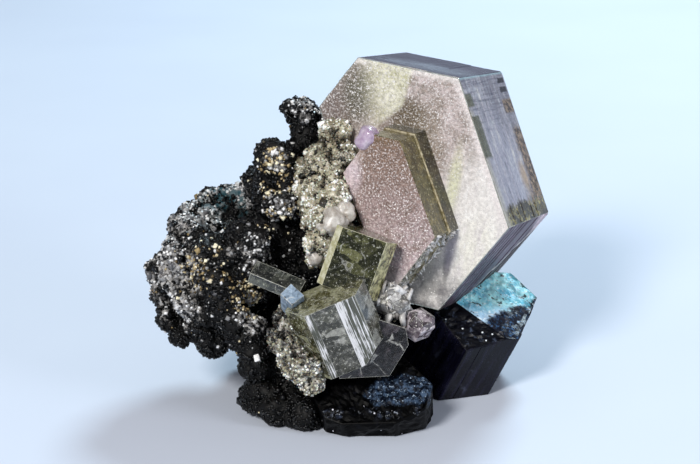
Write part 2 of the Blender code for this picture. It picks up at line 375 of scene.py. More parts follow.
LARGE = tablet(LARGE_FRONT, LARGE_AXIS, LARGE_UP, hexagon(*LARGE_SIDES), LARGE_THICKNESS)
PLATE = tablet(FROSTED_FRONT, FROSTED_AXIS, FROSTED_UP, hexagon(*FROSTED_SIDES), FROSTED_THICKNESS)
GREEN_SIDES = hexagon(3.5, 4.65, 4.2, 6.5, 2.5, 4.68)
GREEN = Crystal((0.55, -10.81, 24.5), (0.336, 0.175, 0.925), (0.025, -0.984, 0.177), GREEN_SIDES, 4.45)
STRIATED = Crystal(
    (-1.44, -14.36, 16.08),
    (-0.352, -0.13, 0.927),
    (0.158, -0.984, -0.078),
    hexagon(4.6, 5.4, 4.3, 2.9, 5.4, 5.92),
    5.5,
    cuts=[((3.3, -19.0, 13.4), (0.85, -0.25, -0.46))],
)
SMOKY_AXIS = Vector((0.25, -0.951, 0.183)).normalized()
SMOKY_SIDES = [(342, 4.75), (282, 5.54), (239, 4.21), (182, 3.67), (107, 5.61), (34, 5.18)]
SMOKY = tablet(SMOKY_FRONT, SMOKY_AXIS, (0.03, 0.196, 0.98), SMOKY_SIDES, SMOKY_THICKNESS)
SLAB_SIDES = hexagon(1.5, 1.8, 1.6, 1.6, 1.7, 1.8)
SLAB = Crystal((-10.5, -10.9, 21.1), (0.9, -0.30, -0.29), (0.2, -0.64, 0.735), SLAB_SIDES, 3.9)
DIAMOND_SIDES = [(5, 1.15), (98, 1.3), (184, 1.15), (272, 1.3)]
DIAMOND = Crystal((-8.3, -14.6, 19.4), (0.0, -0.663, 0.741), (0.743, 0.29, 0.603), DIAMOND_SIDES, 2.4)
SMALL_SIDES = hexagon(2.0, 1.8, 1.9, 2.0, 1.9, 1.8)
SMALL_SETBACKS = dict.fromkeys(range(6), 0.7)
SMALL = Crystal((10.1, -11.7, 15.0), (0.3, -0.6, 0.74), (1, 0, 0), SMALL_SIDES, 1.8, SMALL_SETBACKS)
WHITE_SIDES = hexagon(1.9, 2.2, 2.4, 1.8, 2.3, 2.0)
WHITE = Crystal(
    (6.3, -10.6, 18.1), (0.25, -0.80, 0.55), (0.5, 0.4, 0.75), WHITE_SIDES, 2.2, {0: 0.5, 2: 0.9, 4: 0.6}
)
PRISM_TOP = (0.28, -0.34, 0.90)
PRISM_BEVEL = (0.03, -0.632, 0.775)
PRISM = Crystal(
    (16.6, 4.8, 6.0),
    (0.442, -0.024, 0.896),
    (0.293, -0.941, -0.17),
    hexagon(9.3, 7.9, 8.1, 5.5, 6.5, 7.7),
    12.0,
    cuts=[((21.1, 4.5, 13.3), PRISM_TOP), ((17.2, 0.7, 13.1), PRISM_BEVEL)],
    resting=True,
)
FOOT_AXIS = Vector((-0.05, -0.575, 0.818)).normalized()
FOOT_TOP = Vector((2.6, -15.8, 5.9))
FOOT_PATCH = Vector((7.6, -15.9, 6.2))
FOOT_CRYSTAL = Crystal(
    FOOT_TOP - FOOT_AXIS * 6.0,
    FOOT_AXIS,
    (0, -0.818, -0.575),
    [(0, 5.3), (28, 6.6), (75, 8.8), (130, 8.0), (180, 8.0), (240, 7.0), (295, 7.5), (335, 6.4)],
    6.0,
    resting=True,
)


def mesh_object(name, bm, materials=()):
    mesh = bpy.data.meshes.new(name)
    bm.to_mesh(mesh)
    bm.free()
    for material in materials:
        mesh.materials.append(material)
    thing = bpy.data.objects.new(name, mesh)
    bpy.context.scene.collection.objects.link(thing)
    return thing


def settle(thing):
    """Makes what the modifiers give the thing's own mesh."""
    bpy.context.view_layer.update()
    graph = bpy.context.evaluated_depsgraph_get()
    mesh = bpy.data.meshes.new_from_object(thing.evaluated_get(graph), depsgraph=graph)
    thing.modifiers.clear()
    old = thing.data
    thing.data = mesh
    bpy.data.meshes.remove(old)
    mesh.name = thing.name
    return thing


def soften_edges(bm, width=EDGE, material=-1):
    """Rounds every sharp edge a little. A material of its own paints a highlight on the edges."""
    edges = [e for e in bm.edges if len(e.link_faces) == 2 and e.calc_face_angle() > math.radians(12)]
    how = {"affect": "EDGES", "segments": 2, "profile": 0.5, "material": material, "clamp_overlap": True}
    bmesh.ops.bevel(bm, geom=edges, offset=width * MM, **how)


def flat_side(bm, normal):
    """The largest face that looks along the normal."""
    found = [f for f in bm.faces if f.normal.dot(normal) > 0.995]
    return max(found, key=lambda f: f.calc_area())


def ruled(bm, faces, across, places):
    """Cuts the faces by planes square to across, at those distances in millimetres from the origin."""
    for distance in places:
        around = dict.fromkeys(e for f in faces for e in f.edges)
        points = dict.fromkeys(v for f in faces for v in f.verts)
        geometry = [*points, *around, *faces]
        cut = bmesh.ops.bisect_plane(
            bm, geom=geometry, dist=1e-8, plane_co=across * distance * MM, plane_no=across
        )
        faces = [f for f in cut["geom"] if isinstance(f, bmesh.types.BMFace)]
    return faces


def raise_strips(bm, normal, across, widths, heights, seed, share=0.6, bounds=None, material=None):
    """Growth lines: a flat side is cut into strips of random widths, and some of them stand up a little."""
    chance = np.random.default_rng(seed)
    across = Vector(across).normalized()
    sides = [f for f in bm.faces if f.normal.dot(normal) > 0.9995]
    spans = [v.co.dot(across) / MM for f in sides for v in f.verts]
    low, high = (min(spans), max(spans)) if bounds is None else bounds
    places = [low] if bounds else []
    here = low + chance.uniform(*widths)
    while here < high - widths[0]:
        places.append(here)
        here += chance.uniform(*widths)
    places += [high] if bounds else []
    strips = ruled(bm, sides, across, places)
    strips = [f for f in strips if low < f.calc_center_median().dot(across) / MM < high]
    for strip in sorted(strips, key=lambda f: f.calc_center_median().dot(across)):
        if material is not None:
            strip.material_index = material
        if chance.random() > share:
            continue
        depth = chance.uniform(*heights) * MM
        raised = bmesh.ops.inset_individual(
            bm, faces=[strip], thickness=STRIP_BEVEL * MM, depth=depth, use_even_offset=True
        )
        if material is not None:
            for face in raised["faces"]:
                face.material_index = material


def roughen(bm, normal, step, height, seed, swirl=1.4):
    """Turns one flat side into a broken one: it is cut into a grid, and the points inside it move out or in."""
    side = flat_side(bm, normal)
    rim = list(side.verts)
    one = (rim[1].co - rim[0].co).normalized()
    two = Vector(normal).normalized().cross(one)
    faces = [side]
    for across in (one, two):
        spans = [v.co.dot(across) / MM for v in rim]
        places = np.arange(min(spans) + step / 2, max(spans), step)
        faces = ruled(bm, faces, across, [float(place) for place in places])
    cut = dict.fromkeys(v for f in faces for v in f.verts)
    inner = [v for v in cut if all(f in set(faces) for f in v.link_faces)]
    shift = Vector((seed * 3.1, seed * 1.7, seed * 0.9))
    for v in inner:
        here = v.co / MM / swirl + shift
        lift = noise.noise(here) + 0.5 * noise.noise(here * 2.6)
        v.co += Vector(normal) * (lift * height * MM)
    return faces


def paint(bm, sides):
    """Gives the faces that look along each direction that material number."""
    for number, direction in sides.items():
        direction = Vector(direction).normalized()
        for f in bm.faces:
            if f.normal.dot(direction) > 0.96:
                f.material_index = number


def large_front_look():
    """Frosted, with a pale beam and darker clouds that show through it, a fine grain with painted sparkle, and a
    painted shadow of the plate's top. The beam is painted light passing through inner planes.
    """
    look = Look("large_front", LARGE.front())
    cloud = look.noise(3.2, 6, 0.7)
    small = look.noise(0.9, 4, 0.75)
    streak = look.noise(1.6, 3, 0.6, stretch=(1.0, 0.35, 1.0))
    colour = look.toned(cloud, 0.36, 0.64, (0.56, 0.50, 0.46), (0.80, 0.74, 0.73))
    pale = look.beyond((7.2, 2.0), (0.80, -0.60), 4.5)
    shadow = look.beyond((5.6, -11.2), (-0.45, -0.89), 2.6)
    layers = [
        (pale * look.step(cloud, 0.02, 0.45), (0.93, 0.91, 0.89), 1.0),
        (pale * look.step(streak, 0.50, 0.66), (0.99, 0.98, 0.97), 0.7),
        (pale * look.step(streak, 0.46, 0.30), (0.78, 0.75, 0.75), 0.5),
        (look.blob((-10.6, 11.0), (3.4, 4.6), 0.6) * look.step(cloud, 0.2, 0.5), (0.33, 0.31, 0.23), 1.0),
        (look.beyond((-12.0, 9.0), (-1.0, -0.4), 1.8), (0.42, 0.36, 0.33), 0.9),
        # These two brown patches are a painted shadow of the plate's top on the face above it.
        (look.blob((-2.0, 9.0), (3.4, 3.2), 0.5), (0.36, 0.30, 0.20), 0.95),
        (look.blob((1.5, 5.5), (2.4, 5.0), 0.6), (0.52, 0.46, 0.38), 0.6),
        (look.blob((6.8, 1.0), (0.9, 4.6), 0.7), (0.86, 0.87, 0.68), 0.6),
        (look.beyond((9.9, 5.7), (0.866, 0.5), 0.7), (0.93, 0.89, 0.88), 0.8),
        (look.beyond((0.0, 15.5), (0.0, 1.0), 0.4), (0.93, 0.90, 0.88), 0.8),
        (shadow * look.step(cloud, 0.66, 0.40), (0.42, 0.41, 0.42), 0.95),
        (look.blob((5.2, -12.6), (2.6, 4.2), 0.6) * look.step(streak, 0.3, 0.58), (0.74, 0.73, 0.71), 0.7),
        (look.blob((8.0, -11.7), (0.6, 2.0), 0.5), (0.30, 0.30, 0.30), 0.8),
        (look.blob((8.1, -8.2), (0.9, 3.4), 0.6), (0.60, 0.57, 0.66), 0.7),
        (look.blob((12.0, -8.4), (2.8, 5.0), 0.6) * look.step(streak, 0.3, 0.6), (0.93, 0.92, 0.85), 0.6),
    ]
    colour = look.layered(colour, layers)
    # The beam is painted light passing through inner planes.
    beam = look.beyond((-2.9, 12.5), (-1.0, 0.11), 0.45) * look.beyond((-3.4, 10.2), (-0.73, 0.685), 0.45)
    beam = beam * look.beyond((-8.6, 12.0), (0.95, 0.3), 2.6)
    glow = look.toned(cloud, 0.35, 0.6, (0.76, 0.75, 0.60), (0.90, 0.89, 0.80))
    colour = look.mix(beam * 0.9, colour, glow)
    colour = look.mix(look.step(small, 0.5, 0.78) * (0.5 - 0.42 * pale), colour, (0.38, 0.34, 0.30))
    colour = look.mix(pale * 0.4, look.grained(colour, 0.55), colour)
    # The white specks below are painted sparkle; where they lie, the face is also smoother.
    spread = look.step(look.noise(2.4, 3), 0.25, 0.6)
    grain = look.sparkle_specks(0.34, 0.52, 0.62) * (0.35 + 0.65 * spread)
    colour = look.mix(grain * (0.8 - 0.45 * pale), colour, (0.99, 0.97, 0.96))
    spark = look.glints(0.42, 0.30, 0.25) * spread
    colour = look.mix(spark, colour, (1.0, 0.99, 0.98))
    height = look.noise(0.4, 3, 0.7)
    return look.surface(
        colour,
        0.42 - 0.25 * grain,
        (height, 0.07, 0.8),
        ((0.86, 0.86, 0.74), 25.0),
        clear=0.25,
    )


def large_side_look(name, axes, base, pale, along=True, lines=0.45, wide=1.5):
    """A glassy side with fine growth lines: the material so far, its lines and its colour.

    The lines run along the crystal, or else across it.
    """
    look = Look(name, axes)
    drawn = (0.05, 1.0, 0.05) if along else (1.0, 0.05, 0.05)
    line = look.noise(lines, 4, 0.75, stretch=drawn)
    streak = look.noise(wide, 4, 0.65, stretch=(1.0, 0.10, 1.0))
    colour = look.toned(line * 0.15 + streak * 0.85, 0.36, 0.64, base, pale)
    return look, line, colour


def glassy(look, colour, line, inside, clear=0.35, rough=0.12, shine=0.4):
    height = line + 0.3 * look.noise(0.8, 3, 0.6, place=look.place(WORLD))
    return look.surface(
        colour,
        rough + 0.15 * line,
        (height, 0.03, 0.5),
        (inside, 25.0),
        clear=clear,
        Specular_IOR_Level=shine,
    )


def large_right_look():
    """Blue-grey glass, ruled at its top and brown at the back and foot, with dark blocks and an olive strip. The blue
    is partly a painted reflection, the cyan strip at the top edge is a painted reflection, and the specks on the foot
    are painted glints.
    """
    look, line, colour = large_side_look(
        "large_right", LARGE.face(5), (0.62, 0.61, 0.66), (0.82, 0.81, 0.85), True, 0.5, 3.0
    )
    along, up = look.part("X"), look.part("Y")
    cloud = look.noise(3.4, 5, 0.6)
    mottle = look.noise(0.9, 4, 0.75)
    soft = look.noise(1.8, 5, 0.7, stretch=(1.0, 0.35, 1.0))
    ruled_part = look.step(up + 10.0 * (cloud - 0.5), 1.0, 7.0)
    back = look.step(along + 4.0 * (cloud - 0.5) + 2.0 * (mottle - 0.5), 5.4, 7.0)
    back = back * look.step(up + 4.0 * (cloud - 0.5), 3.6, 2.0)
    notch = look.step(along, 5.3, 5.7) * look.between(up, 5.0, 5.4, 7.2, 7.6)
    low = look.beyond((4.4, -7.4), (0.6, -0.8), 1.8)
    bars = look.between(up, 8.4, 8.6, 9.3, 9.5) + look.between(up, 9.9, 10.1, 10.7, 10.9)
    corner = bars * look.step(along + 2.0 * (mottle - 0.5), 6.3, 6.8) * look.step(along, 9.7, 9.4)
    foot = look.step(up + 4.0 * (cloud - 0.5) + 1.5 * (mottle - 0.5), -8.0, -9.0)
    brown = look.toned(mottle, 0.40, 0.62, (0.30, 0.23, 0.15), (0.80, 0.69, 0.57))
    olive = look.toned(cloud, 0.42, 0.60, (0.30, 0.26, 0.14), (0.76, 0.71, 0.48))
    layers = [
        (look.blob((-1.5, -3.0), (7.0, 8.0), 0.6), (0.92, 0.92, 0.99), 0.5),
        (soft, 0.53, 0.66, (0.99, 0.98, 0.98), 0.85),
        (soft, 0.47, 0.34, (0.48, 0.48, 0.54), 0.6),
        (look.step(line, 0.50, 0.60) * ruled_part, (0.38, 0.40, 0.50), 0.5),
        (look.step(line, 0.46, 0.38) * ruled_part, (0.90, 0.92, 0.96), 0.4),
        (back, brown, 0.8),
        (notch, brown, 0.8),
        (look.blob((4.3, -4.8), (1.4, 2.2), 0.6), (0.88, 0.76, 0.62), 0.75),
        (low, brown, 0.85),
        (corner, (0.13, 0.13, 0.17), 0.85),
        (foot, look.toned(mottle, 0.42, 0.6, olive, (0.24, 0.19, 0.10)), 0.95),
        # Painted glints on the foot.
        (look.glints(0.45, 0.25, 0.3) * foot, (0.96, 0.91, 0.72), 0.8),
    ]
    colour = look.layered(colour, layers)
    strip = look.step(along + 1.5 * (mottle - 0.5), -6.8, -7.3) * look.between(up, -1.0, -0.4, 5.6, 6.0)
    nick = look.step(along + 2.0 * (mottle - 0.5), -7.0, -7.6) * look.between(up, 7.0, 7.4, 9.0, 9.4)
    margin = look.step(along, -8.2, -9.6) * look.step(up, 7.4, 6.0) * (1 - strip)
    layers = [
        (strip + nick, (0.42, 0.43, 0.31), 0.8),
        (margin, (0.88, 0.86, 0.82), 0.8),
        # A cyan painted reflection along the top edge.
        (up, 11.2, 11.8, (0.76, 0.92, 0.95), 0.8),
    ]
    colour = look.grained(look.layered(colour, layers), 0.6, 0.85, 1.2)
    return glassy(look, colour, 0.5 * line * ruled_part + cloud, (0.84, 0.84, 0.84), 0.42, 0.08, 0.25)


def large_lower_look():
    """Dark smoky glass with a pinkish lined corner and a thin bright line across, darker beyond it."""
    look, line, colour = large_side_look(
        "large_lower_right", LARGE.face(4), (0.36, 0.31, 0.36), (0.39, 0.34, 0.39), False, 0.9, 2.5
    )
    along, up = look.part("X"), look.part("Y")
    cloud = look.noise(2.6, 5, 0.7)
    rim = look.beyond((2.3, 7.8), (0.70, 0.71), 1.4)
    across = 0.84 * along - 0.54 * up
    layers = [
        (cloud, 0.52, 0.70, (0.62, 0.58, 0.65), 0.6),
        (cloud, 0.46, 0.34, (0.20, 0.17, 0.20), 0.6),
        (rim, (0.78, 0.70, 0.74), 0.9),
        (rim * look.step(line, 0.44, 0.62), (0.99, 0.92, 0.94), 0.8),
        (across + 1.5 * (cloud - 0.5), 6.9, 7.6, (0.28, 0.23, 0.22), 0.85),
        (look.between(across, 6.5, 6.7, 6.9, 7.1), (0.95, 0.92, 0.90), 0.9),
        (up + 4.0 * (cloud - 0.5), -9.0, -12.0, (0.20, 0.17, 0.16), 0.8),
    ]
    colour = look.grained(look.layered(colour, layers), 0.5, 0.8, 1.25)
    return glassy(look, colour, cloud, (0.6, 0.55, 0.56), 0.15, 0.3, 0.1)


def large_top_look():
    """Purple-grey glass with a pale blue painted highlight along its front and a bright blue painted reflection on
    its front edge at the right. The purple-blue tint is partly a painted reflection of blue light.
    """
    look, line, colour = large_side_look(
        "large_top", LARGE.face(0), (0.34, 0.33, 0.42), (0.47, 0.45, 0.54)
    )
    along, up = look.part("X"), look.part("Y")
    cloud = look.noise(2.2, 5, 0.7, stretch=(1.0, 0.5, 1.0))
    mottle = look.noise(1.2, 5, 0.75)
    rim = look.step(up + 1.5 * (mottle - 0.5), -4.6, -5.1) * look.step(along, -4.0, -8.0)
    band = look.blob((-4.0, 1.6), (5.0, 9.0), 1.0) + 1.6 * (cloud - 0.5) + 0.8 * (mottle - 0.5)
    layers = [
        (cloud, 0.54, 0.68, (0.68, 0.63, 0.76), 0.6),
        # A painted highlight along the front, and a painted reflection on the front edge.
        (band, 0.25, 1.10, (0.76, 0.80, 0.87), 0.85),
        (rim, (0.70, 0.90, 0.95), 0.9),
        (along, -9.2, -9.9, (0.92, 0.88, 0.86), 0.7),
    ]
    colour = look.grained(look.layered(colour, layers), 0.5, 0.8, 1.25)
    return glassy(look, colour, cloud, (0.80, 0.80, 0.82), 0.5, 0.08, 0.3)


def large_back_look():
    """Pale yellowish glass with soft clouds, a little painted sparkle and faint growth lines."""
    look, line, colour = large_side_look(
        "large_back", LARGE.face(2), (0.74, 0.74, 0.68), (0.84, 0.84, 0.80), True, 0.6, 3.0
    )
    cloud = look.noise(4.4, 5, 0.6)
    layers = [
        (cloud, 0.52, 0.72, (0.50, 0.49, 0.40), 0.6),
        (cloud, 0.48, 0.34, (0.97, 0.96, 0.94), 0.8),
        # Painted sparkle.
        (look.sparkle_specks(0.34, 0.60, 0.70), (0.98, 0.97, 0.95), 0.5),
    ]
    colour = look.grained(look.layered(colour, layers), 0.5, 0.9, 1.1)
    return glassy(look, colour, cloud + 0.3 * line, (0.97, 0.97, 0.93), 0.7, 0.03, 0.5)


def glass_look(name, axes, colour, veil, inside, density, clear=0.75, facet=2.0, specks=0.8, cracks=0.4):
    """Clear crystal: painted angular reflections inside, cloudy veils, thin curved cracks and a few specks of painted
    sparkle.
    """
    look = Look(name, axes)
    cloud = look.noise(1.4, 5, 0.7, 0.6)
    swirl = look.node("ShaderNodeTexNoise", (), {"Vector": look.here, "Scale": 0.4}, "Color")
    bent = look.vector("ADD", look.here, look.stretched(swirl, 1.5, 1.5, 1.5))
    blocks = look.cells(look.stretched(bent, 1.0, 0.55, 1.0), facet, "Color", metric="MANHATTAN")
    facets = look.part("X", blocks)
    crack = look.step(look.cells(bent, 1.6 * facet, feature="DISTANCE_TO_EDGE"), 0.030, 0.008)
    layers = [
        (cloud, 0.46, 0.66, veil, 0.85),
        # Pale and dark facets are painted inner reflections.
        (facets, 0.55, 0.70, veil, 0.7),
        (facets, 0.40, 0.25, (0.07, 0.07, 0.05), 0.6),
        (crack * look.step(look.noise(2.5, 3), 0.46, 0.56), (0.97, 0.97, 0.94), cracks),
        # Specks of painted sparkle.
        (look.sparkle_specks(0.4, 0.58, 0.68), (0.97, 0.97, 0.92), specks),
    ]
    return look.surface(
        look.grained(look.layered(colour, layers), 0.5),
        0.05 + 0.25 * look.step(cloud, 0.5, 0.75),
        (cloud, 0.05, 0.5),
        (inside, density),
        clear=clear,
    )


def flake_look(name, stops):
    """Flakes inside a clear crystal: each one has its own tone."""
    look = Look(name, None)
    return look.surface(look.ramp("tone", stops), 0.2 + 0.2 * look.named("tone"), clear=0.3, IOR=1.5)


def edge_look(name, dark, pale, clear=0.35):
    """A thin bright edge or strip, uneven along its length."""
    look = Look(name)
    cloud = look.noise(0.9, 4, 0.7)
    colour = look.toned(cloud, 0.35, 0.65, dark, pale)
    return look.surface(colour, 0.22, (cloud, 0.06, 0.6), clear=clear)


def striae_look():
    """White growth lines with clear gaps, brightest along their left side."""
    look = Look("white_striae", STRIATED.face(0))
    line = look.noise(0.34, 3, 0.8, stretch=(0.03, 1.0, 0.03))
    fade = look.noise(1.8, 3, 0.65, stretch=(0.5, 1.0, 1.0))
    across = look.part("Y")
    first = look.step(across, 1.6, 0.5) * (across > 0.0)
    white = look.step(line + 0.55 * (fade - 0.5) + 0.16 * first, 0.48, 0.60)
    colour = look.mix(white, (0.31, 0.32, 0.28), (0.90, 0.90, 0.91))
    return look.surface(colour, 0.25, (line, 0.08, 0.8), clear=0.15)


def plate_front_look():
    """Pinkish and frosted, with a dense grain of painted sparkle, browner at the top and creamy along the left side.
    """
    look = Look("frosted_front", PLATE.front())
    cloud = look.noise(2.4, 6, 0.7)
    small = look.noise(0.8, 4, 0.75)
    colour = look.toned(look.part("Y"), 7.0, -8.0, (0.46, 0.36, 0.29), (0.70, 0.62, 0.63))
    layers = [
        (cloud, 0.42, 0.65, (0.43, 0.34, 0.29), 0.75),
        (small, 0.45, 0.72, (0.33, 0.26, 0.22), 0.5),
        (look.beyond((-5.8, 0), (-1.0, 0.1), 1.3), (0.78, 0.70, 0.66), 0.6),
        (look.blob((-6.2, 2.0), (1.4, 2.6), 0.6), (0.82, 0.75, 0.79), 0.6),
        (look.beyond((0, 8.2), (-0.1, 1.0), 0.8), (0.40, 0.30, 0.17), 0.8),
        (look.beyond((2.0, -11.0), (0.1, -1.0), 1.6), (0.92, 0.89, 0.90), 0.8),
    ]
    colour = look.grained(look.layered(colour, layers), 0.5)
    # The white specks below are painted sparkle and glints, densest low down.
    spread = look.step(look.noise(1.8, 3) - 0.012 * look.part("Y"), 0.26, 0.62)
    grain = look.sparkle_specks(0.3, 0.52, 0.62) * (0.3 + 0.7 * spread)
    colour = look.mix(grain * 0.8, colour, (0.99, 0.95, 0.94))
    colour = look.mix(look.glints(0.40, 0.42, 0.26) * spread, colour, (1.0, 0.98, 0.97))
    height = look.noise(0.35, 3, 0.7)
    return look.surface(
        colour, 0.45 - 0.28 * grain, (height, 0.08, 0.9), ((0.75, 0.65, 0.5), 60.0), clear=0.1
    )


def plate_side_look():
    """Olive glass, darker on the back step, and creamy pink with a lilac cloud on the left side."""
    look = Look("frosted_side", PLATE.front())
    cloud = look.noise(1.5, 6, 0.7)
    depth = look.part("Z")
    front = look.toned(cloud, 0.4, 0.65, (0.28, 0.25, 0.12), (0.52, 0.47, 0.30))
    back = look.toned(cloud, 0.4, 0.65, (0.13, 0.12, 0.06), (0.30, 0.27, 0.16))
    colour = look.toned(depth, -4.6, -5.0, front, back)
    low = look.beyond((5.0, -6.5), (0.5, -0.86), 1.4)
    left = look.beyond((-4.6, 0), (-1.0, 0.0), 1.0)
    mottle = look.toned(look.noise(0.8, 4, 0.75), 0.4, 0.62, (0.30, 0.29, 0.22), (0.95, 0.94, 0.88))
    layers = [
        (low, mottle, 0.9),
        (left, (0.86, 0.79, 0.76), 1.0),
        (look.blob((-5.6, -1.0, -3.0), (2.0, 3.0, 5.0), 0.6), (0.76, 0.66, 0.74), 0.7),
        # Painted sparkle.
        (look.sparkle_specks(0.35, 0.58, 0.68), (0.96, 0.94, 0.80), 0.45),
    ]
    colour = look.grained(look.layered(colour, layers), 0.5)
    return look.surface(
        colour, 0.16, (cloud, 0.12, 0.6), ((0.70, 0.66, 0.40), 60.0), clear=0.35
    )


def lilac_look():
    look = Look("lilac_bead")
    cloud = look.noise(1.2, 3)
    colour = look.toned(cloud, 0.35, 0.65, (0.72, 0.62, 0.73), (0.88, 0.82, 0.88))
    return look.surface(colour, 0.22, (cloud, 0.08, 0.5), clear=0.35, IOR=1.6)


def prism_side_look():
    look = Look("black_side", PRISM.face(0))
    line = look.noise(0.9, 4, 0.65, stretch=(0.08, 1.0, 0.08))
    worn = look.noise(2.4, 4, 0.65)
    # The navy tint of the black and its streaks is painted sheen; the streaks follow real growth lines.
    colour = look.toned(line, 0.45, 0.72, (0.05, 0.05, 0.085), (0.13, 0.13, 0.20))
    colour = look.mix(look.step(worn, 0.6, 0.72) * 0.4, colour, (0.30, 0.32, 0.40))
    roughness = 0.16 + 0.4 * look.step(worn, 0.42, 0.7)
    return look.surface(colour, roughness, (line, 0.05, 0.6), Specular_IOR_Level=0.3)


def prism_top_look():
    """A painted reflection of blue light: bright blue-green with painted whitish highlights on its ridges; navy and
    black towards its front right corner.
    """
    look = Look("teal_top")
    cloud = look.noise(2.6, 6, 0.7)
    fine = look.noise(0.5, 4, 0.7)
    pale = look.step(look.towards((0.35, -0.94, 0.0)) + 5.0 * (cloud - 0.5), 4.0, 7.0)
    front = look.step(look.towards((0.75, -0.66, 0.0)) + 6.0 * (cloud - 0.5), 15.6, 16.8)
    # The teal is a painted reflection of blue light.
    teal = look.toned(cloud, 0.35, 0.65, (0.42, 0.76, 0.86), (0.74, 1.0, 1.0))
    navy = look.toned(fine, 0.52, 0.68, (0.05, 0.07, 0.13), (0.26, 0.42, 0.60))
    layers = [
        # A paler painted reflection, and whitish painted highlights.
        (pale, (0.70, 0.79, 0.90), 0.8),
        (fine, 0.52, 0.70, (0.97, 1.0, 1.0), 0.9),
        (front, navy, 1.0),
        (look.noise(1.3, 3, 0.6), 0.58, 0.64, (0.06, 0.08, 0.12), 0.9),
    ]
    colour = look.layered(teal, layers)
    return look.surface(colour, 0.38, (fine + cloud, 0.12, 0.7), Specular_IOR_Level=0.5)


def prism_bevel_look():
    look = Look("dark_bevel")
    fine = look.noise(0.9, 4, 0.7)
    colour = look.toned(fine, 0.56, 0.68, (0.04, 0.045, 0.07), (0.24, 0.27, 0.33))
    # Painted glints.
    spark = look.glints(0.5, 0.05, 0.3)
    colour = look.mix(spark, colour, (0.85, 0.88, 0.9))
    return look.surface(colour, 0.3, (fine, 0.12, 0.8), Specular_IOR_Level=0.25)


def foot_look():
    """Nearly black and broken, with a painted blue-grey reflection on its top and painted sparkle along its front
    edge.
    """
    look = Look("black_front")
    fine = look.noise(0.9, 5, 0.75)
    wild = look.noise(2.2, 5, 0.7)
    colour = look.toned(fine, 0.52, 0.72, (0.015, 0.015, 0.02), (0.07, 0.075, 0.10))
    # The blue-grey patch on the top is a painted reflection of blue light.
    patch = look.blob(tuple(FOOT_PATCH), (5.0, 2.6, 3.0), 0.5)
    patch = look.step(patch + 1.6 * (wild - 0.5), 0.35, 0.65)
    blue = look.toned(fine, 0.45, 0.66, (0.05, 0.07, 0.11), (0.27, 0.34, 0.43))
    edge = look.blob((2.0, -19.0, 4.2), (10.0, 0.9, 0.9), 0.5) * look.step(wild, 0.45, 0.6)
    layers = [
        (patch, blue, 1.0),
        # Painted sparkle on the patch and along the front edge, and painted glints.
        (patch * look.sparkle_specks(0.4, 0.60, 0.70), (0.66, 0.74, 0.82), 0.8),
        (edge * look.step(fine, 0.48, 0.62), (0.28, 0.31, 0.38), 0.9),
        (edge * look.sparkle_specks(0.4, 0.58, 0.68), (0.85, 0.88, 0.92), 0.9),
        (look.glints(0.5, 0.02, 0.26), (0.8, 0.8, 0.84), 1.0),
    ]
    colour = look.layered(colour, layers)
    return look.surface(colour, 0.3 + 0.3 * fine, (fine, 0.08, 0.7), Specular_IOR_Level=0.08)


def druse_look():
    """Black rock, with painted light on its raised heads, a grey-white crust at the left and a painted teal
    reflection of blue light at the back.
    """
    look = Look("druse_rock")
    rise = look.named("rise")
    fine = look.noise(0.8, 4, 0.7)
    cloud = look.noise(4.0, 3, 0.6)
    # Raised heads are paler: painted light.
    heads = look.step(fine, 0.4, 0.7) * look.step(rise, 0.3, 0.9)
    colour = look.mix(heads, (0.01, 0.01, 0.012), (0.11, 0.105, 0.10))
    crust = 0.0
    for centre, radii, share in SILVER:
        crust = crust + share * look.blob(centre, radii, 0.45)
    crust = look.step(crust + 1.4 * rise + 0.8 * (fine - 0.5) + 0.6 * (cloud - 0.5), 1.5, 1.9)
    colour = look.mix(crust, colour, look.toned(fine, 0.35, 0.65, (0.20, 0.195, 0.19), (0.70, 0.69, 0.68)))
    # A painted teal reflection of blue light at the back.
    back = look.blob((-16.0, 15.0, 27.0), (12.0, 6.0, 4.0), 0.5)
    colour = look.mix(back * look.step(cloud, 0.45, 0.6) * 0.8, colour, (0.14, 0.30, 0.34))
    return look.surface(colour, 0.4 + 0.3 * fine, (fine, 0.2, 0.8), Specular_IOR_Level=0.2)


def crust_look(name, dark, pale, bright):
    """Crusts of pale grains, with painted shade in the hollows between them."""
    look = Look(name)
    rise = look.named("rise")
    fine = look.noise(0.7, 4, 0.75)
    cloud = look.noise(2.6, 4, 0.65)
    colour = look.toned(cloud, 0.4, 0.6, dark, pale)
    colour = look.mix(look.step(fine, 0.45, 0.7) * 0.9, colour, bright)
    # Painted shade in the hollows.
    hollow_shade = look.step(rise + 0.7 * (fine - 0.5) + 0.8 * (cloud - 0.5), 0.68, 0.40)
    colour = look.mix(hollow_shade * 0.95, colour, (0.11, 0.10, 0.07))
    return look.surface(colour, 0.35, (fine, 0.2, 0.8), Subsurface_Weight=0.1, Subsurface_Scale=0.001)


def milky_look():
    """Rounded translucent grains, milky white with a faint yellow."""
    look = Look("milky_grain")
    cloud = look.noise(1.1, 4, 0.7)
    colour = look.toned(cloud, 0.35, 0.65, (0.78, 0.74, 0.69), (1.0, 0.98, 0.95))
    # Painted sparkle.
    colour = look.mix(look.sparkle_specks(0.3, 0.58, 0.68) * 0.7, colour, (0.99, 0.99, 0.97))
    return look.surface(colour, 0.32, (cloud, 0.15, 0.7), clear=0.45, IOR=1.55)


def grain_look(name, stops, roughness=0.18, **others):
    """Loose crystal grains: each one has its own tone, which the ramp turns into a colour."""
    look = Look(name)
    colour = look.grained(look.ramp("tone", stops), 0.4, 0.7, 1.25)
    return look.surface(colour, roughness + 0.2 * look.noise(0.4, 2), **others)


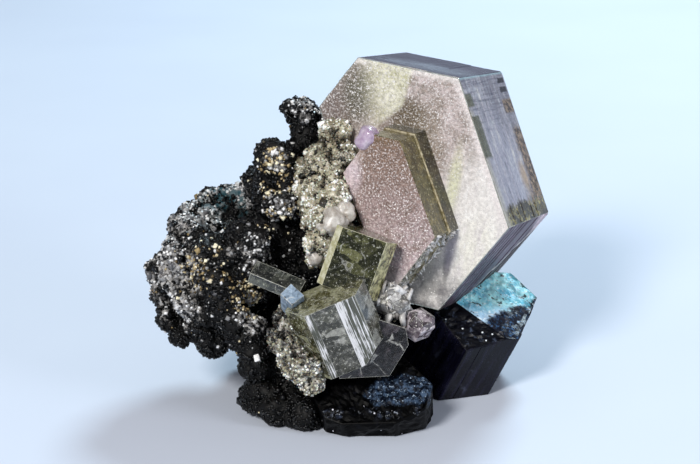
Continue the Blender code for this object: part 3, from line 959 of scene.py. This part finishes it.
def grown_crystal(name, crystal, materials, details=None, sides=None, edge_material=-1, edge=EDGE):
    """One crystal with worn edges and its own details, before its neighbours are cut from it."""
    bm = crystal.solid()
    soften_edges(bm, edge, edge_material)
    if sides:
        paint(bm, sides)
    if details:
        details(bm)
    return mesh_object(name, bm, materials)


def large_details(bm):
    for number, widths, heights, seed in ((5, (0.3, 1.6), (0.02, 0.08), 3), (4, (0.3, 1.2), (0.02, 0.10), 7)):
        axes = LARGE.face(number)
        raise_strips(bm, axes.out, axes.right, widths, heights, seed)
    for number, seed in ((0, 11), (1, 13), (2, 17), (3, 19)):
        axes = LARGE.face(number)
        raise_strips(bm, axes.out, axes.up, (0.6, 2.6), (0.02, 0.07), seed)


def striated_details(bm):
    """White growth lines over the right half of the front face, and a second band near its left edge."""
    axes = STRIATED.face(0)
    start = axes.origin.dot(axes.up)
    for low, high, widths, seed in ((0.5, 5.6, (0.16, 0.5), 23), (-4.5, -3.1, (0.16, 0.36), 29)):
        raise_strips(bm, axes.out, axes.up, widths, (0.03, 0.10), seed, 0.75, (start + low, start + high), 2)


def prism_details(bm):
    for number, seed in ((0, 31), (5, 37), (1, 41), (4, 43)):
        axes = PRISM.face(number)
        raise_strips(bm, axes.out, axes.up, (0.5, 2.0), (0.03, 0.12), seed, 0.5)
    roughen(bm, Vector(PRISM_TOP).normalized(), 0.5, 0.45, 5)
    roughen(bm, Vector(PRISM_BEVEL).normalized(), 0.6, 0.35, 8)


def foot_details(bm):
    """A broken top and uneven sides."""
    roughen(bm, FOOT_AXIS, 0.45, 0.5, 12, 1.7)
    for number in range(len(FOOT_CRYSTAL.sides)):
        normal = FOOT_CRYSTAL.side_normal(FOOT_CRYSTAL.sides[number][0])
        if any(f.normal.dot(normal) > 0.995 for f in bm.faces):
            roughen(bm, normal, 0.6, 0.4, 20 + number, 1.7)


def cut_by(thing, cutters):
    for cutter in cutters:
        step = thing.modifiers.new("neighbour", "BOOLEAN")
        step.operation = "DIFFERENCE"
        step.object = cutter
        step.solver = "EXACT"
    if cutters:
        settle(thing)
    return thing


def rock_skin(name, node, voxel, swell, bumps, seed, materials):
    """The node's own shape, merged, remeshed fine and grown out in rounded heads with hollows between them.

    Bumps are pairs of a head's width and its height. The mesh keeps how high each point stands as rise.
    """
    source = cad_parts[node].data
    bm = bmesh.new()
    bm.from_mesh(source)
    bmesh.ops.remove_doubles(bm, verts=bm.verts, dist=0.001 * MM)
    thing = mesh_object(name, bm, materials)
    skin = thing.modifiers.new("fine skin", "REMESH")
    skin.mode = "VOXEL"
    skin.voxel_size = voxel * MM
    settle(thing)
    bm = bmesh.new()
    bm.from_mesh(thing.data)
    bm.normal_update()
    shift = Vector((seed, seed * 0.37, seed * 0.71))
    moves, rises = [], []
    for v in bm.verts:
        here = v.co / MM
        here = here + noise.noise_vector(here / 1.7) * 0.5
        lift, rise = swell, 0.0
        for size, height in bumps:
            nearest = noise.voronoi(here / size + shift)[0][0]
            head = math.sqrt(max(0.0, 1.0 - (nearest / 0.85) ** 2))
            lift += height * (head - 0.75)
            rise += head / len(bumps)
        lift += 0.12 * noise.noise(here / 0.6 + shift)
        moves.append(v.normal * lift * MM)
        rises.append(rise)
    for v, move in zip(bm.verts, moves):
        v.co += move
        v.co.z = max(v.co.z, 0.0)
    for f in bm.faces:
        f.smooth = True
        f.material_index = 0
    bm.to_mesh(thing.data)
    bm.free()
    layer = thing.data.attributes.new("rise", "FLOAT", "POINT")
    layer.data.foreach_set("value", np.array(rises, np.float32))
    return thing


def grain_shape(kind):
    """A grain about one across, cut to triangles, as points and faces."""
    bm = bmesh.new()
    if kind == "rhomb":
        bmesh.ops.create_cube(bm, size=0.8)
        for v in bm.verts:
            v.co.x += 0.25 * v.co.z
    elif kind == "blade":
        bmesh.ops.create_cube(bm, size=1.0)
        for v in bm.verts:
            v.co = Vector((0.28 * v.co.x + 0.2 * v.co.z, 0.6 * v.co.y, 1.3 * v.co.z + 0.3 * v.co.y))
    else:
        bmesh.ops.create_icosphere(bm, subdivisions=1, radius=0.5)
    bmesh.ops.triangulate(bm, faces=bm.faces)
    bm.verts.index_update()
    points = np.array([v.co for v in bm.verts])
    faces = np.array([[v.index for v in f.verts] for f in bm.faces])
    bm.free()
    return points, faces


def random_turns(chance, count):
    """Evenly random turns, as count 3 x 3 matrices."""
    q = chance.normal(size=(count, 4))
    q /= np.linalg.norm(q, axis=1, keepdims=True)
    w, x, y, z = q.T
    rows = [
        [1 - 2 * (y * y + z * z), 2 * (x * y - z * w), 2 * (x * z + y * w)],
        [2 * (x * y + z * w), 1 - 2 * (x * x + z * z), 2 * (y * z - x * w)],
        [2 * (x * z - y * w), 2 * (y * z + x * w), 1 - 2 * (x * x + y * y)],
    ]
    return np.array(rows).transpose(2, 0, 1)


def strew(name, spots, size, kind, turns, stretch, tone, material):
    """One piece made of many grains, each with its place, size, turn, stretch and tone."""
    count = len(spots)
    shape, faces = grain_shape(kind)
    grains = np.einsum("nij,nkj->nki", turns, shape[None] * stretch) * size + spots[:, None]
    grains[..., 2] = np.maximum(grains[..., 2], 0.0)
    vertices = (grains * MM).reshape(-1, 3).astype(np.float32)
    loops = (faces[None] + np.arange(count)[:, None, None] * len(shape)).reshape(-1).astype(np.int32)
    made = bpy.data.meshes.new(name)
    made.vertices.add(len(vertices))
    made.vertices.foreach_set("co", vertices.reshape(-1))
    made.loops.add(len(loops))
    made.loops.foreach_set("vertex_index", loops)
    made.polygons.add(len(loops) // 3)
    made.polygons.foreach_set("loop_start", np.arange(0, len(loops), 3, dtype=np.int32))
    made.update(calc_edges=True)
    layer = made.attributes.new("tone", "FLOAT", "POINT")
    layer.data.foreach_set("value", np.repeat(tone, len(shape)).astype(np.float32))
    made.materials.append(material)
    thing = bpy.data.objects.new(name, made)
    bpy.context.scene.collection.objects.link(thing)
    return thing


def scatter(
    name, skin, kind, count, sizes, seed, material, tones=None, around=None, stretch=(0.65, 1.15), lift=0.05
):
    """Grains strewn over a skin, as one piece. Tones gives their tones, and they may gather around a place."""
    chance = np.random.default_rng(seed)
    mesh = skin.data
    mesh.calc_loop_triangles()
    points = np.empty(len(mesh.vertices) * 3)
    mesh.vertices.foreach_get("co", points)
    points = points.reshape(-1, 3) / MM
    rise = np.full(len(points), 0.6)
    if "rise" in mesh.attributes:
        rise = np.empty(len(points), np.float32)
        mesh.attributes["rise"].data.foreach_get("value", rise)
    corners = np.empty(len(mesh.loop_triangles) * 3, np.int64)
    mesh.loop_triangles.foreach_get("vertices", corners)
    corners = corners.reshape(-1, 3)
    a, b, c = points[corners].transpose(1, 0, 2)
    normal = np.cross(b - a, c - a)
    area = np.linalg.norm(normal, axis=1)
    normal /= area[:, None] + 1e-12
    middle = (a + b + c) / 3
    likely = area * (middle[:, 2] > 0.4)
    if around:
        likely = likely * near(middle, *around)
    chosen = chance.choice(len(area), count, p=likely / likely.sum())
    u, v = chance.random((2, count, 1))
    over = u + v > 1
    u, v = np.where(over, 1 - u, u), np.where(over, 1 - v, v)
    spots = a[chosen] + u * (b - a)[chosen] + v * (c - a)[chosen]
    high = rise[corners].mean(axis=1)[chosen]
    size = chance.uniform(*sizes, (count, 1, 1)) * chance.uniform(0.6, 1.0, (count, 1, 1))
    spots = spots + normal[chosen] * size[:, 0] * lift
    shapes = chance.uniform(*stretch, (count, 1, 3))
    luck = chance.random(count)
    tone = tones(spots, high, luck) if tones else luck
    return strew(name, spots, size, kind, random_turns(chance, count), shapes, tone, material)


FLAKE_SHAPE = ((0.5, 1.2), (0.5, 1.2), (0.06, 0.3))


def flakes(name, crystal, count, sizes, seed, material, reach):
    """Thin flakes and cloudy specks inside a clear crystal, almost half of them lying flat, parallel to its base."""
    chance = np.random.default_rng(seed)
    planes = [(np.array(point), np.array(normal)) for point, normal in crystal.planes()]
    spots = np.array(crystal.centre) + chance.uniform(-reach, reach, (60 * count, 3))
    inside = np.ones(len(spots), bool)
    for point, normal in planes:
        inside &= (spots - point) @ normal < -0.3 - sizes[1] / 2
    spots = spots[inside][:count]
    count = len(spots)
    size = chance.uniform(*sizes, (count, 1, 1)) * chance.uniform(0.3, 1.0, (count, 1, 1))
    shapes = np.stack([chance.uniform(low, high, count) for low, high in FLAKE_SHAPE], 1)
    lean = random_turns(chance, count)
    base = np.array(crystal.front().turn())
    level = chance.random(count) < 0.45
    turns = np.where(level[:, None, None], base[None], lean)
    return strew(name, spots, size, "bead", turns, shapes[:, None], chance.random(count), material)


def near(points, centre, radii):
    """1 at a centre, falling to 0 at its radii."""
    away = np.linalg.norm((points - np.array(centre)) / np.array(radii), axis=1)
    return np.clip(2.2 * (1 - away), 0, 1)


def keep(thing, slot, *nodes):
    """Puts a finished piece on the root body and hides the solids that it stands for. The slot is not used."""
    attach(thing, "root")
    if nodes:
        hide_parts(*nodes)
    return thing


def build_plate(edge):
    """Two steps of one plate: the front step is a little smaller, so that a thin ledge shows round it."""
    front, side = plate_front_look(), plate_side_look()
    tiers = []
    plates = (("plate_back", 0.0, -5.0, 0.3, 2), ("plate_front", 0.32, 0.0, 5.0, 1))
    for name, inset, start, end, face in plates:
        tier = Crystal(
            PLATE.centre + PLATE.c_axis * (start + end) / 2,
            PLATE.c_axis,
            PLATE.face_one,
            [(angle, distance - inset) for angle, distance in PLATE.sides],
            (end - start) / 2,
        )
        tiers.append(grown_crystal(name, tier, [side, front, edge], None, {face: PLATE.c_axis}, -1, 0.07))
    joined = tiers[0].modifiers.new("tier", "BOOLEAN")
    joined.operation = "UNION"
    joined.object = tiers[1]
    joined.solver = "EXACT"
    plate = settle(tiers[0])
    bpy.data.objects.remove(tiers[1])
    plate.name = "frosted_crystal"
    return plate


# The glass of each clear crystal: its name, face, colour, veil, inside and density, and then how clear it is, how
# wide its facets are, and how strong its specks and cracks are.
GLASS = [
    ("olive_glass", GREEN.face(0), (0.27, 0.28, 0.15), (0.60, 0.60, 0.42),
     (0.62, 0.64, 0.34), 80.0, 0.6, 2.6),
    ("striated_glass", STRIATED.face(0), (0.38, 0.38, 0.32), (0.86, 0.86, 0.82),
     (0.74, 0.75, 0.58), 50.0, 0.6, 2.4),
    ("striated_olive", STRIATED.face(5), (0.38, 0.37, 0.24), (0.74, 0.74, 0.60),
     (0.66, 0.66, 0.42), 70.0, 0.5, 2.0),
    ("smoky_glass", SMOKY.front(), (0.12, 0.10, 0.11), (0.46, 0.43, 0.45),
     (0.50, 0.46, 0.48), 90.0, 0.7, 2.2, 0.15, 0.9),
    ("slab_glass", SLAB.face(0), (0.22, 0.23, 0.19), (0.52, 0.53, 0.48), (0.6, 0.62, 0.5), 110.0, 0.7, 1.6),
    ("diamond_glass", DIAMOND.front(), (0.52, 0.60, 0.68), (0.66, 0.74, 0.82),
     (0.7, 0.8, 0.85), 60.0, 0.3, 3.0, 0.3),
    ("pink_glass", SMALL.front(), (0.48, 0.43, 0.46), (0.99, 0.95, 0.97), (0.8, 0.74, 0.76), 50.0, 0.4, 1.5),
    ("white_glass", WHITE.front(), (0.66, 0.65, 0.64), (0.98, 0.98, 0.98), (0.9, 0.9, 0.9), 40.0, 0.3, 1.2),
]
OLIVE_FLAKE = [(0.0, (0.10, 0.11, 0.04)), (0.5, (0.45, 0.47, 0.20)), (1.0, (0.93, 0.94, 0.74))]
CLEAR_FLAKE = [(0.0, (0.20, 0.21, 0.14)), (0.5, (0.60, 0.61, 0.50)), (1.0, (0.97, 0.97, 0.93))]
WHITE_SHARD = [(0.0, (0.62, 0.60, 0.58)), (0.4, (0.86, 0.85, 0.84)), (1.0, (0.99, 0.99, 0.99))]
PALE, OLIVE, FROSTED, BLACK, SMOKE = (
    f"{name}_crystal" for name in ("pale", "olive", "frosted", "black", "smoky")
)


def build_crystals():
    # The bright edge paints a highlight on worn bevels.
    edge = edge_look("painted_edge_highlight", (0.62, 0.62, 0.56), (0.90, 0.90, 0.86))
    ledge = edge_look("plate_ledge", (0.55, 0.50, 0.36), (0.93, 0.88, 0.76))
    # The yellow strip paints a highlight on the green crystal's worn edges and its left face.
    yellow = edge_look("yellow_painted_highlight", (0.78, 0.76, 0.58), (1.0, 0.99, 0.88))
    olive = edge_look("olive_strip", (0.26, 0.25, 0.12), (0.90, 0.87, 0.64), 0.3)
    glass = {name: glass_look(name, *others) for name, *others in GLASS}
    large_looks = [
        large_back_look(), large_front_look(), large_right_look(), large_lower_look(), large_top_look()
    ]
    large_sides = {1: LARGE.c_axis, 2: LARGE.face(5).out, 3: LARGE.face(4).out, 4: LARGE.face(0).out}
    large = grown_crystal("large_crystal", LARGE, large_looks, large_details, large_sides, -1, 0.13)
    prism_looks = [prism_side_look(), prism_top_look(), prism_bevel_look()]
    prism_sides = {1: PRISM_TOP, 2: PRISM_BEVEL}
    prism = grown_crystal("black_prism_crystal", PRISM, prism_looks, prism_details, prism_sides, -1, 0.12)
    green_sides = {1: GREEN.face(5).out, 2: GREEN.face(1).out}
    green_looks = [glass["olive_glass"], yellow, olive]
    green = grown_crystal("green_crystal", GREEN, green_looks, None, green_sides, 1)
    striated_looks = [glass["striated_glass"], edge, striae_look(), glass["striated_olive"]]
    striated_sides = {3: STRIATED.face(5).out}
    striated = grown_crystal("striated_crystal", STRIATED, striated_looks, striated_details, striated_sides, 1)
    for f in striated.data.polygons:
        if Vector(f.normal).dot(STRIATED.c_axis) > 0.9:
            f.material_index = 3
    plain = [
        ("smoky", SMOKY, "smoky_glass", 1),
        ("diamond", DIAMOND, "diamond_glass", 1),
        ("slab", SLAB, "slab_glass", 1),
        ("small", SMALL, "pink_glass", -1),
        ("white", WHITE, "white_glass", -1),
    ]
    grown = {
        name: grown_crystal(f"{name}_crystal", crystal, [glass[look], edge], None, None, edges)
        for name, crystal, look, edges in plain
    }
    foot = grown_crystal("front_black", FOOT_CRYSTAL, [foot_look()], foot_details, None, -1, 0.2)
    made = [
        (large, LARGE, PALE, "large_apatite"),
        (prism, PRISM, BLACK, "black_prism"),
        (build_plate(ledge), PLATE, FROSTED, "frosted_apatite"),
        (green, GREEN, OLIVE, "green_apatite"),
        (striated, STRIATED, OLIVE, "striated_apatite"),
        (grown["smoky"], SMOKY, SMOKE, "smoky_apatite"),
        (grown["diamond"], DIAMOND, OLIVE, "diamond_apatite"),
        (grown["slab"], SLAB, OLIVE, "slab_apatite"),
        (grown["small"], SMALL, PALE, "small_apatite"),
        (grown["white"], WHITE, PALE, "white_apatite"),
        (foot, FOOT_CRYSTAL, BLACK, "front_black_crystal"),
    ]
    cutters = []
    for thing, crystal, slot, node in made:
        cut_by(thing, cutters)
        cutters.append(mesh_object(f"{node} room", crystal.solid(CONTACT)))
        keep(thing, slot, node)
    for cutter in cutters:
        bpy.data.objects.remove(cutter)
    olive_flake = flake_look("olive_flakes", OLIVE_FLAKE)
    clear_flake = flake_look("clear_flakes", CLEAR_FLAKE)
    inclusions = [
        ("large", LARGE, 420, (0.3, 2.6), clear_flake, 16, PALE),
        ("green", GREEN, 260, (0.15, 1.5), olive_flake, 9, OLIVE),
        ("striated", STRIATED, 320, (0.12, 1.0), clear_flake, 9, OLIVE),
        ("smoky", SMOKY, 60, (0.1, 0.7), clear_flake, 9, SMOKE),
        ("slab", SLAB, 60, (0.1, 0.7), clear_flake, 9, OLIVE),
    ]
    for seed, (name, crystal, count, sizes, look, reach, slot) in enumerate(inclusions, FLAKE_SEED):
        keep(flakes(f"{name}_flakes", crystal, count, sizes, seed, look, reach), slot)
    shard_look = flake_look("white_shard", WHITE_SHARD)
    plate = made[2][0]
    shards = [
        ("white", grown["white"], 46, (1.0, 2.7), None, PALE),
        ("notch", plate, 70, (0.5, 1.3), (PLATE.front().at(6.2, -7.2, -4.0), (3.0, 3.0, 3.0)), FROSTED),
        ("plate", plate, 60, (0.6, 1.6), (PLATE.front().at(0.8, -13.0, -2.0), (4.0, 4.0, 2.6)), FROSTED),
    ]
    for seed, (name, skin, count, sizes, around, slot) in enumerate(shards, SHARD_SEED):
        shape = {"around": around, "stretch": (0.5, 1.1), "lift": 0.08}
        keep(scatter(f"{name}_shards", skin, "blade", count, sizes, seed, shard_look, **shape), slot)


# The palest gold and silver tones are painted glints.
GRAIN_TONES = [
    (0.0, (0.01, 0.01, 0.015)),
    (0.50, (0.08, 0.08, 0.085)),
    (0.56, (0.26, 0.21, 0.13)),
    (0.67, (0.66, 0.58, 0.42)),
    (0.78, (1.0, 0.97, 0.85)),
    (0.80, (0.36, 0.36, 0.37)),
    (0.91, (0.68, 0.68, 0.68)),
    (1.0, (1.0, 1.0, 1.0)),
]
CREAM_TONES = [
    (0.0, (0.09, 0.085, 0.07)),
    (0.30, (0.36, 0.34, 0.29)),
    (0.60, (0.62, 0.60, 0.51)),
    (0.85, (0.82, 0.80, 0.73)),
    (1.0, (1.0, 0.99, 0.97)),
]

# Where the druse's grains are silver or gold, as centre, radii and the share of such grains there.
SILVER = [
    ((-26.5, -1.0, 20.5), (5.0, 7.0, 6.5), 0.70),
    ((-24.0, 8.0, 25.0), (5.0, 8.0, 3.5), 0.75),
    ((-15.5, 12.0, 28.5), (8.0, 6.0, 3.2), 0.95),
    ((-14.5, -6.5, 24.0), (3.5, 4.0, 3.5), 0.60),
    ((-24.0, -5.0, 15.5), (4.5, 6.0, 4.0), 0.75),
    ((-20.5, -6.0, 21.0), (4.0, 4.0, 4.0), 0.40),
    ((-7.0, 7.5, 42.5), (3.0, 4.0, 2.6), 0.60),
    ((-11.1, 1.0, 36.4), (2.6, 3.0, 2.6), 0.35),
    ((-9.7, -2.0, 29.5), (4.0, 4.5, 3.5), 0.50),
    ((-14.0, -10.0, 16.0), (3.5, 4.0, 3.5), 0.65),
    ((-20.0, 17.0, 20.0), (5.0, 5.0, 5.0), 0.30),
    ((-5.0, 19.0, 27.0), (4.0, 5.0, 6.0), 0.25),
]
GOLD = [
    ((-11.1, 0.0, 36.4), (3.2, 4.5, 3.4), 0.45),
    ((-11.5, 0.5, 32.8), (4.0, 4.0, 3.4), 0.60),
    ((-9.7, -3.0, 28.6), (4.0, 4.0, 3.2), 0.45),
    ((-20.5, -6.0, 21.0), (5.0, 4.5, 4.6), 0.75),
    ((-15.5, -8.5, 17.5), (4.5, 4.0, 4.5), 0.60),
]

# Rounded milky grains on the crusts, as centre and radius.
MILKY = [
    ((-2.5, -8.3, 29.5), 2.3),
    ((-0.6, -7.6, 30.9), 1.4),
    ((-3.9, -8.3, 26.6), 1.6),
    ((-5.0, -8.3, 24.2), 1.3),
]
LILAC_BEAD = (PLATE.front().at(-4.9, 8.2, -1.0), 1.75)


def druse_tones(points, rise, luck):
    """Black, the druse's own colour. On raised heads some grains are gold or silver, more in some places: their own
    colours and also painted glints, so they are few in the hollows and low down, where shade is painted.
    """
    silver = 0.04 + sum(share * near(points, centre, radii) for centre, radii, share in SILVER)
    gold = 0.015 + sum(share * near(points, centre, radii) for centre, radii, share in GOLD)
    # Painted light and shade: silver and gold grains need a lit, raised head, and grow rare low down.
    lit_share = np.clip((rise - 0.50) / 0.20, 0.02, 1.0) * np.clip((points[:, 2] - 5) / 9, 0.12, 1.0)
    silver, gold = np.clip(silver, 0, 0.95) * lit_share, np.clip(gold, 0, 0.75) * lit_share
    silver = np.minimum(silver, 1 - gold)
    tone = 0.5 * np.clip(luck / np.maximum(1 - silver - gold, 0.05), 0, 1)
    tone = np.where(luck > 1 - silver - gold, 0.56 + 0.22 * (luck - 1 + silver + gold) / gold, tone)
    return np.where(luck > 1 - silver, 0.80 + 0.20 * (luck - 1 + silver) / silver, tone)


def crust_tones(points, rise, luck):
    """Dark in the hollows as painted shade, pale and bright by turns on the heads, and darker at the front crust's
    left side.
    """
    shade = 0.8 * near(points, (-14.0, -14.0, 16.0), (5.5, 8.0, 7.5))
    shade = shade + 0.2 * near(points, (-5.0, -3.0, 38.0), (6.0, 7.0, 6.0))
    return np.clip(2.6 * (rise - 0.57) + 0.9 * (luck - 0.45) - shade, 0, 1)


def rounded_grains(name, grains, seed, material):
    """Rounded, slightly uneven grains, as one piece."""
    bm = bmesh.new()
    for centre, radius in grains:
        place = Matrix.Translation(mm(*centre))
        made = bmesh.ops.create_icosphere(bm, subdivisions=4, radius=radius * MM, matrix=place)
        for v in made["verts"]:
            out = (v.co / MM - Vector(centre)).normalized()
            head = 1.0 - min(1.0, noise.voronoi(v.co / MM / 1.5 + Vector((seed, 0, 0)))[0][0] / 0.75) ** 2
            v.co += out * MM * (0.22 * (head - 0.5) + 0.55 * noise.noise(v.co / MM / 1.5))
    for f in bm.faces:
        f.smooth = True
    return mesh_object(name, bm, [material])


def build_rock():
    druse = rock_skin("druse", "black_druse", 0.42, 0.2, [(3.4, 2.0), (1.4, 0.7)], 3.0, [druse_look()])
    keep(druse, "black_druse", "black_druse")
    cream_look = crust_look("cream_rock", (0.38, 0.35, 0.28), (0.62, 0.59, 0.49), (0.90, 0.88, 0.82))
    cream = rock_skin("cream", "cream_crust", 0.3, 0.15, [(3.6, 2.2), (1.3, 0.9)], 7.0, [cream_look])
    keep(cream, "cream_crust", "cream_crust")
    front_look = crust_look("front_rock", (0.24, 0.24, 0.25), (0.52, 0.50, 0.45), (0.86, 0.85, 0.82))
    front = rock_skin("front_rock", "front_crust", 0.28, 0.15, [(2.0, 1.2), (0.9, 0.6)], 11.0, [front_look])
    keep(front, "cream_crust", "front_crust")
    dark_look = grain_look("druse_grains", GRAIN_TONES, 0.12, Specular_IOR_Level=0.35)
    pale_look = grain_look("cream_grains", CREAM_TONES, 0.2, Subsurface_Weight=0.15, Subsurface_Scale=0.001)
    grains = [
        ("druse_rhombs", druse, "rhomb", 15000, (0.3, 0.75), 1, dark_look, druse_tones),
        ("druse_small_rhombs", druse, "rhomb", 15000, (0.2, 0.5), 3, dark_look, druse_tones),
        ("druse_beads", druse, "bead", 5000, (0.3, 0.7), 2, dark_look, druse_tones),
        ("druse_blocks", druse, "rhomb", 900, (0.7, 1.3), 10, dark_look, druse_tones),
        ("cream_beads", cream, "bead", 400, (0.2, 0.6), 4, pale_look, crust_tones),
        ("cream_rhombs", cream, "rhomb", 5600, (0.15, 0.6), 6, pale_look, crust_tones),
        ("cream_blocks", cream, "rhomb", 260, (0.6, 1.4), 9, pale_look, crust_tones),
        ("front_beads", front, "bead", 200, (0.2, 0.6), 5, pale_look, crust_tones),
        ("front_rhombs", front, "rhomb", 2200, (0.15, 0.6), 8, pale_look, crust_tones),
    ]
    for name, skin, kind, count, sizes, seed, look, tones in grains:
        slot = "black_druse" if skin == druse else "cream_crust"
        keep(scatter(name, skin, kind, count, sizes, seed, look, tones), slot)
    keep(rounded_grains("milky_grains", MILKY, 5.0, milky_look()), "cream_crust")
    keep(rounded_grains("lilac_bead", [LILAC_BEAD], 9.0, lilac_look()), "frosted_crystal")


TARGET = Vector((0, 0, 25.3))
CAMERA_BACK = Vector((0, -0.951, 0.309))
CAMERA_DISTANCE = 291.7


def build_camera():
    data = bpy.data.cameras.new("camera")
    data.lens = 100.0
    data.sensor_width = 36.0
    data.clip_start = 0.01
    camera = bpy.data.objects.new("camera", data)
    camera.location = (TARGET + CAMERA_BACK * CAMERA_DISTANCE) * MM
    camera.rotation_euler = CAMERA_BACK.to_track_quat("Z", "Y").to_euler()
    bpy.context.scene.collection.objects.link(camera)
    bpy.context.scene.camera = camera


def area_light(name, place, size, power, colour):
    data = bpy.data.lights.new(name, "AREA")
    data.shape = "DISK"
    data.size = size * MM
    data.energy = power
    data.color = colour
    light = bpy.data.objects.new(name, data)
    light.location = mm(*place)
    light.rotation_euler = (mm(*place) - TARGET * MM).to_track_quat("Z", "Y").to_euler()
    bpy.context.scene.collection.objects.link(light)


def build_stage():
    bm = bmesh.new()
    bmesh.ops.create_grid(bm, x_segments=1, y_segments=1, size=2.5)
    look = Look("studio_floor")
    cloud = look.noise(60.0, 2)
    colour = look.mix(cloud, (0.76, 0.79, 0.85), (0.80, 0.83, 0.88))
    floor = mesh_object("floor", bm, [look.surface(colour, 0.7)])
    floor.location.z = -0.02 * MM
    world = bpy.data.worlds.new("studio")
    world.use_nodes = True
    sky = world.node_tree.nodes["Background"]
    sky.inputs["Color"].default_value = (0.80, 0.86, 1.0, 1.0)
    sky.inputs["Strength"].default_value = 0.24
    bpy.context.scene.world = world
    area_light("key", (-260, -480, 420), 170, 4.2, (1.0, 0.97, 0.93))
    area_light("rear", (160, 420, 420), 160, 3.0, (0.72, 0.90, 1.0))
    area_light("fill", (450, -260, 220), 200, 1.1, (0.95, 0.96, 1.0))
    bpy.context.scene.view_settings.view_transform = "Standard"


build_camera()
build_stage()
build_crystals()
build_rock()
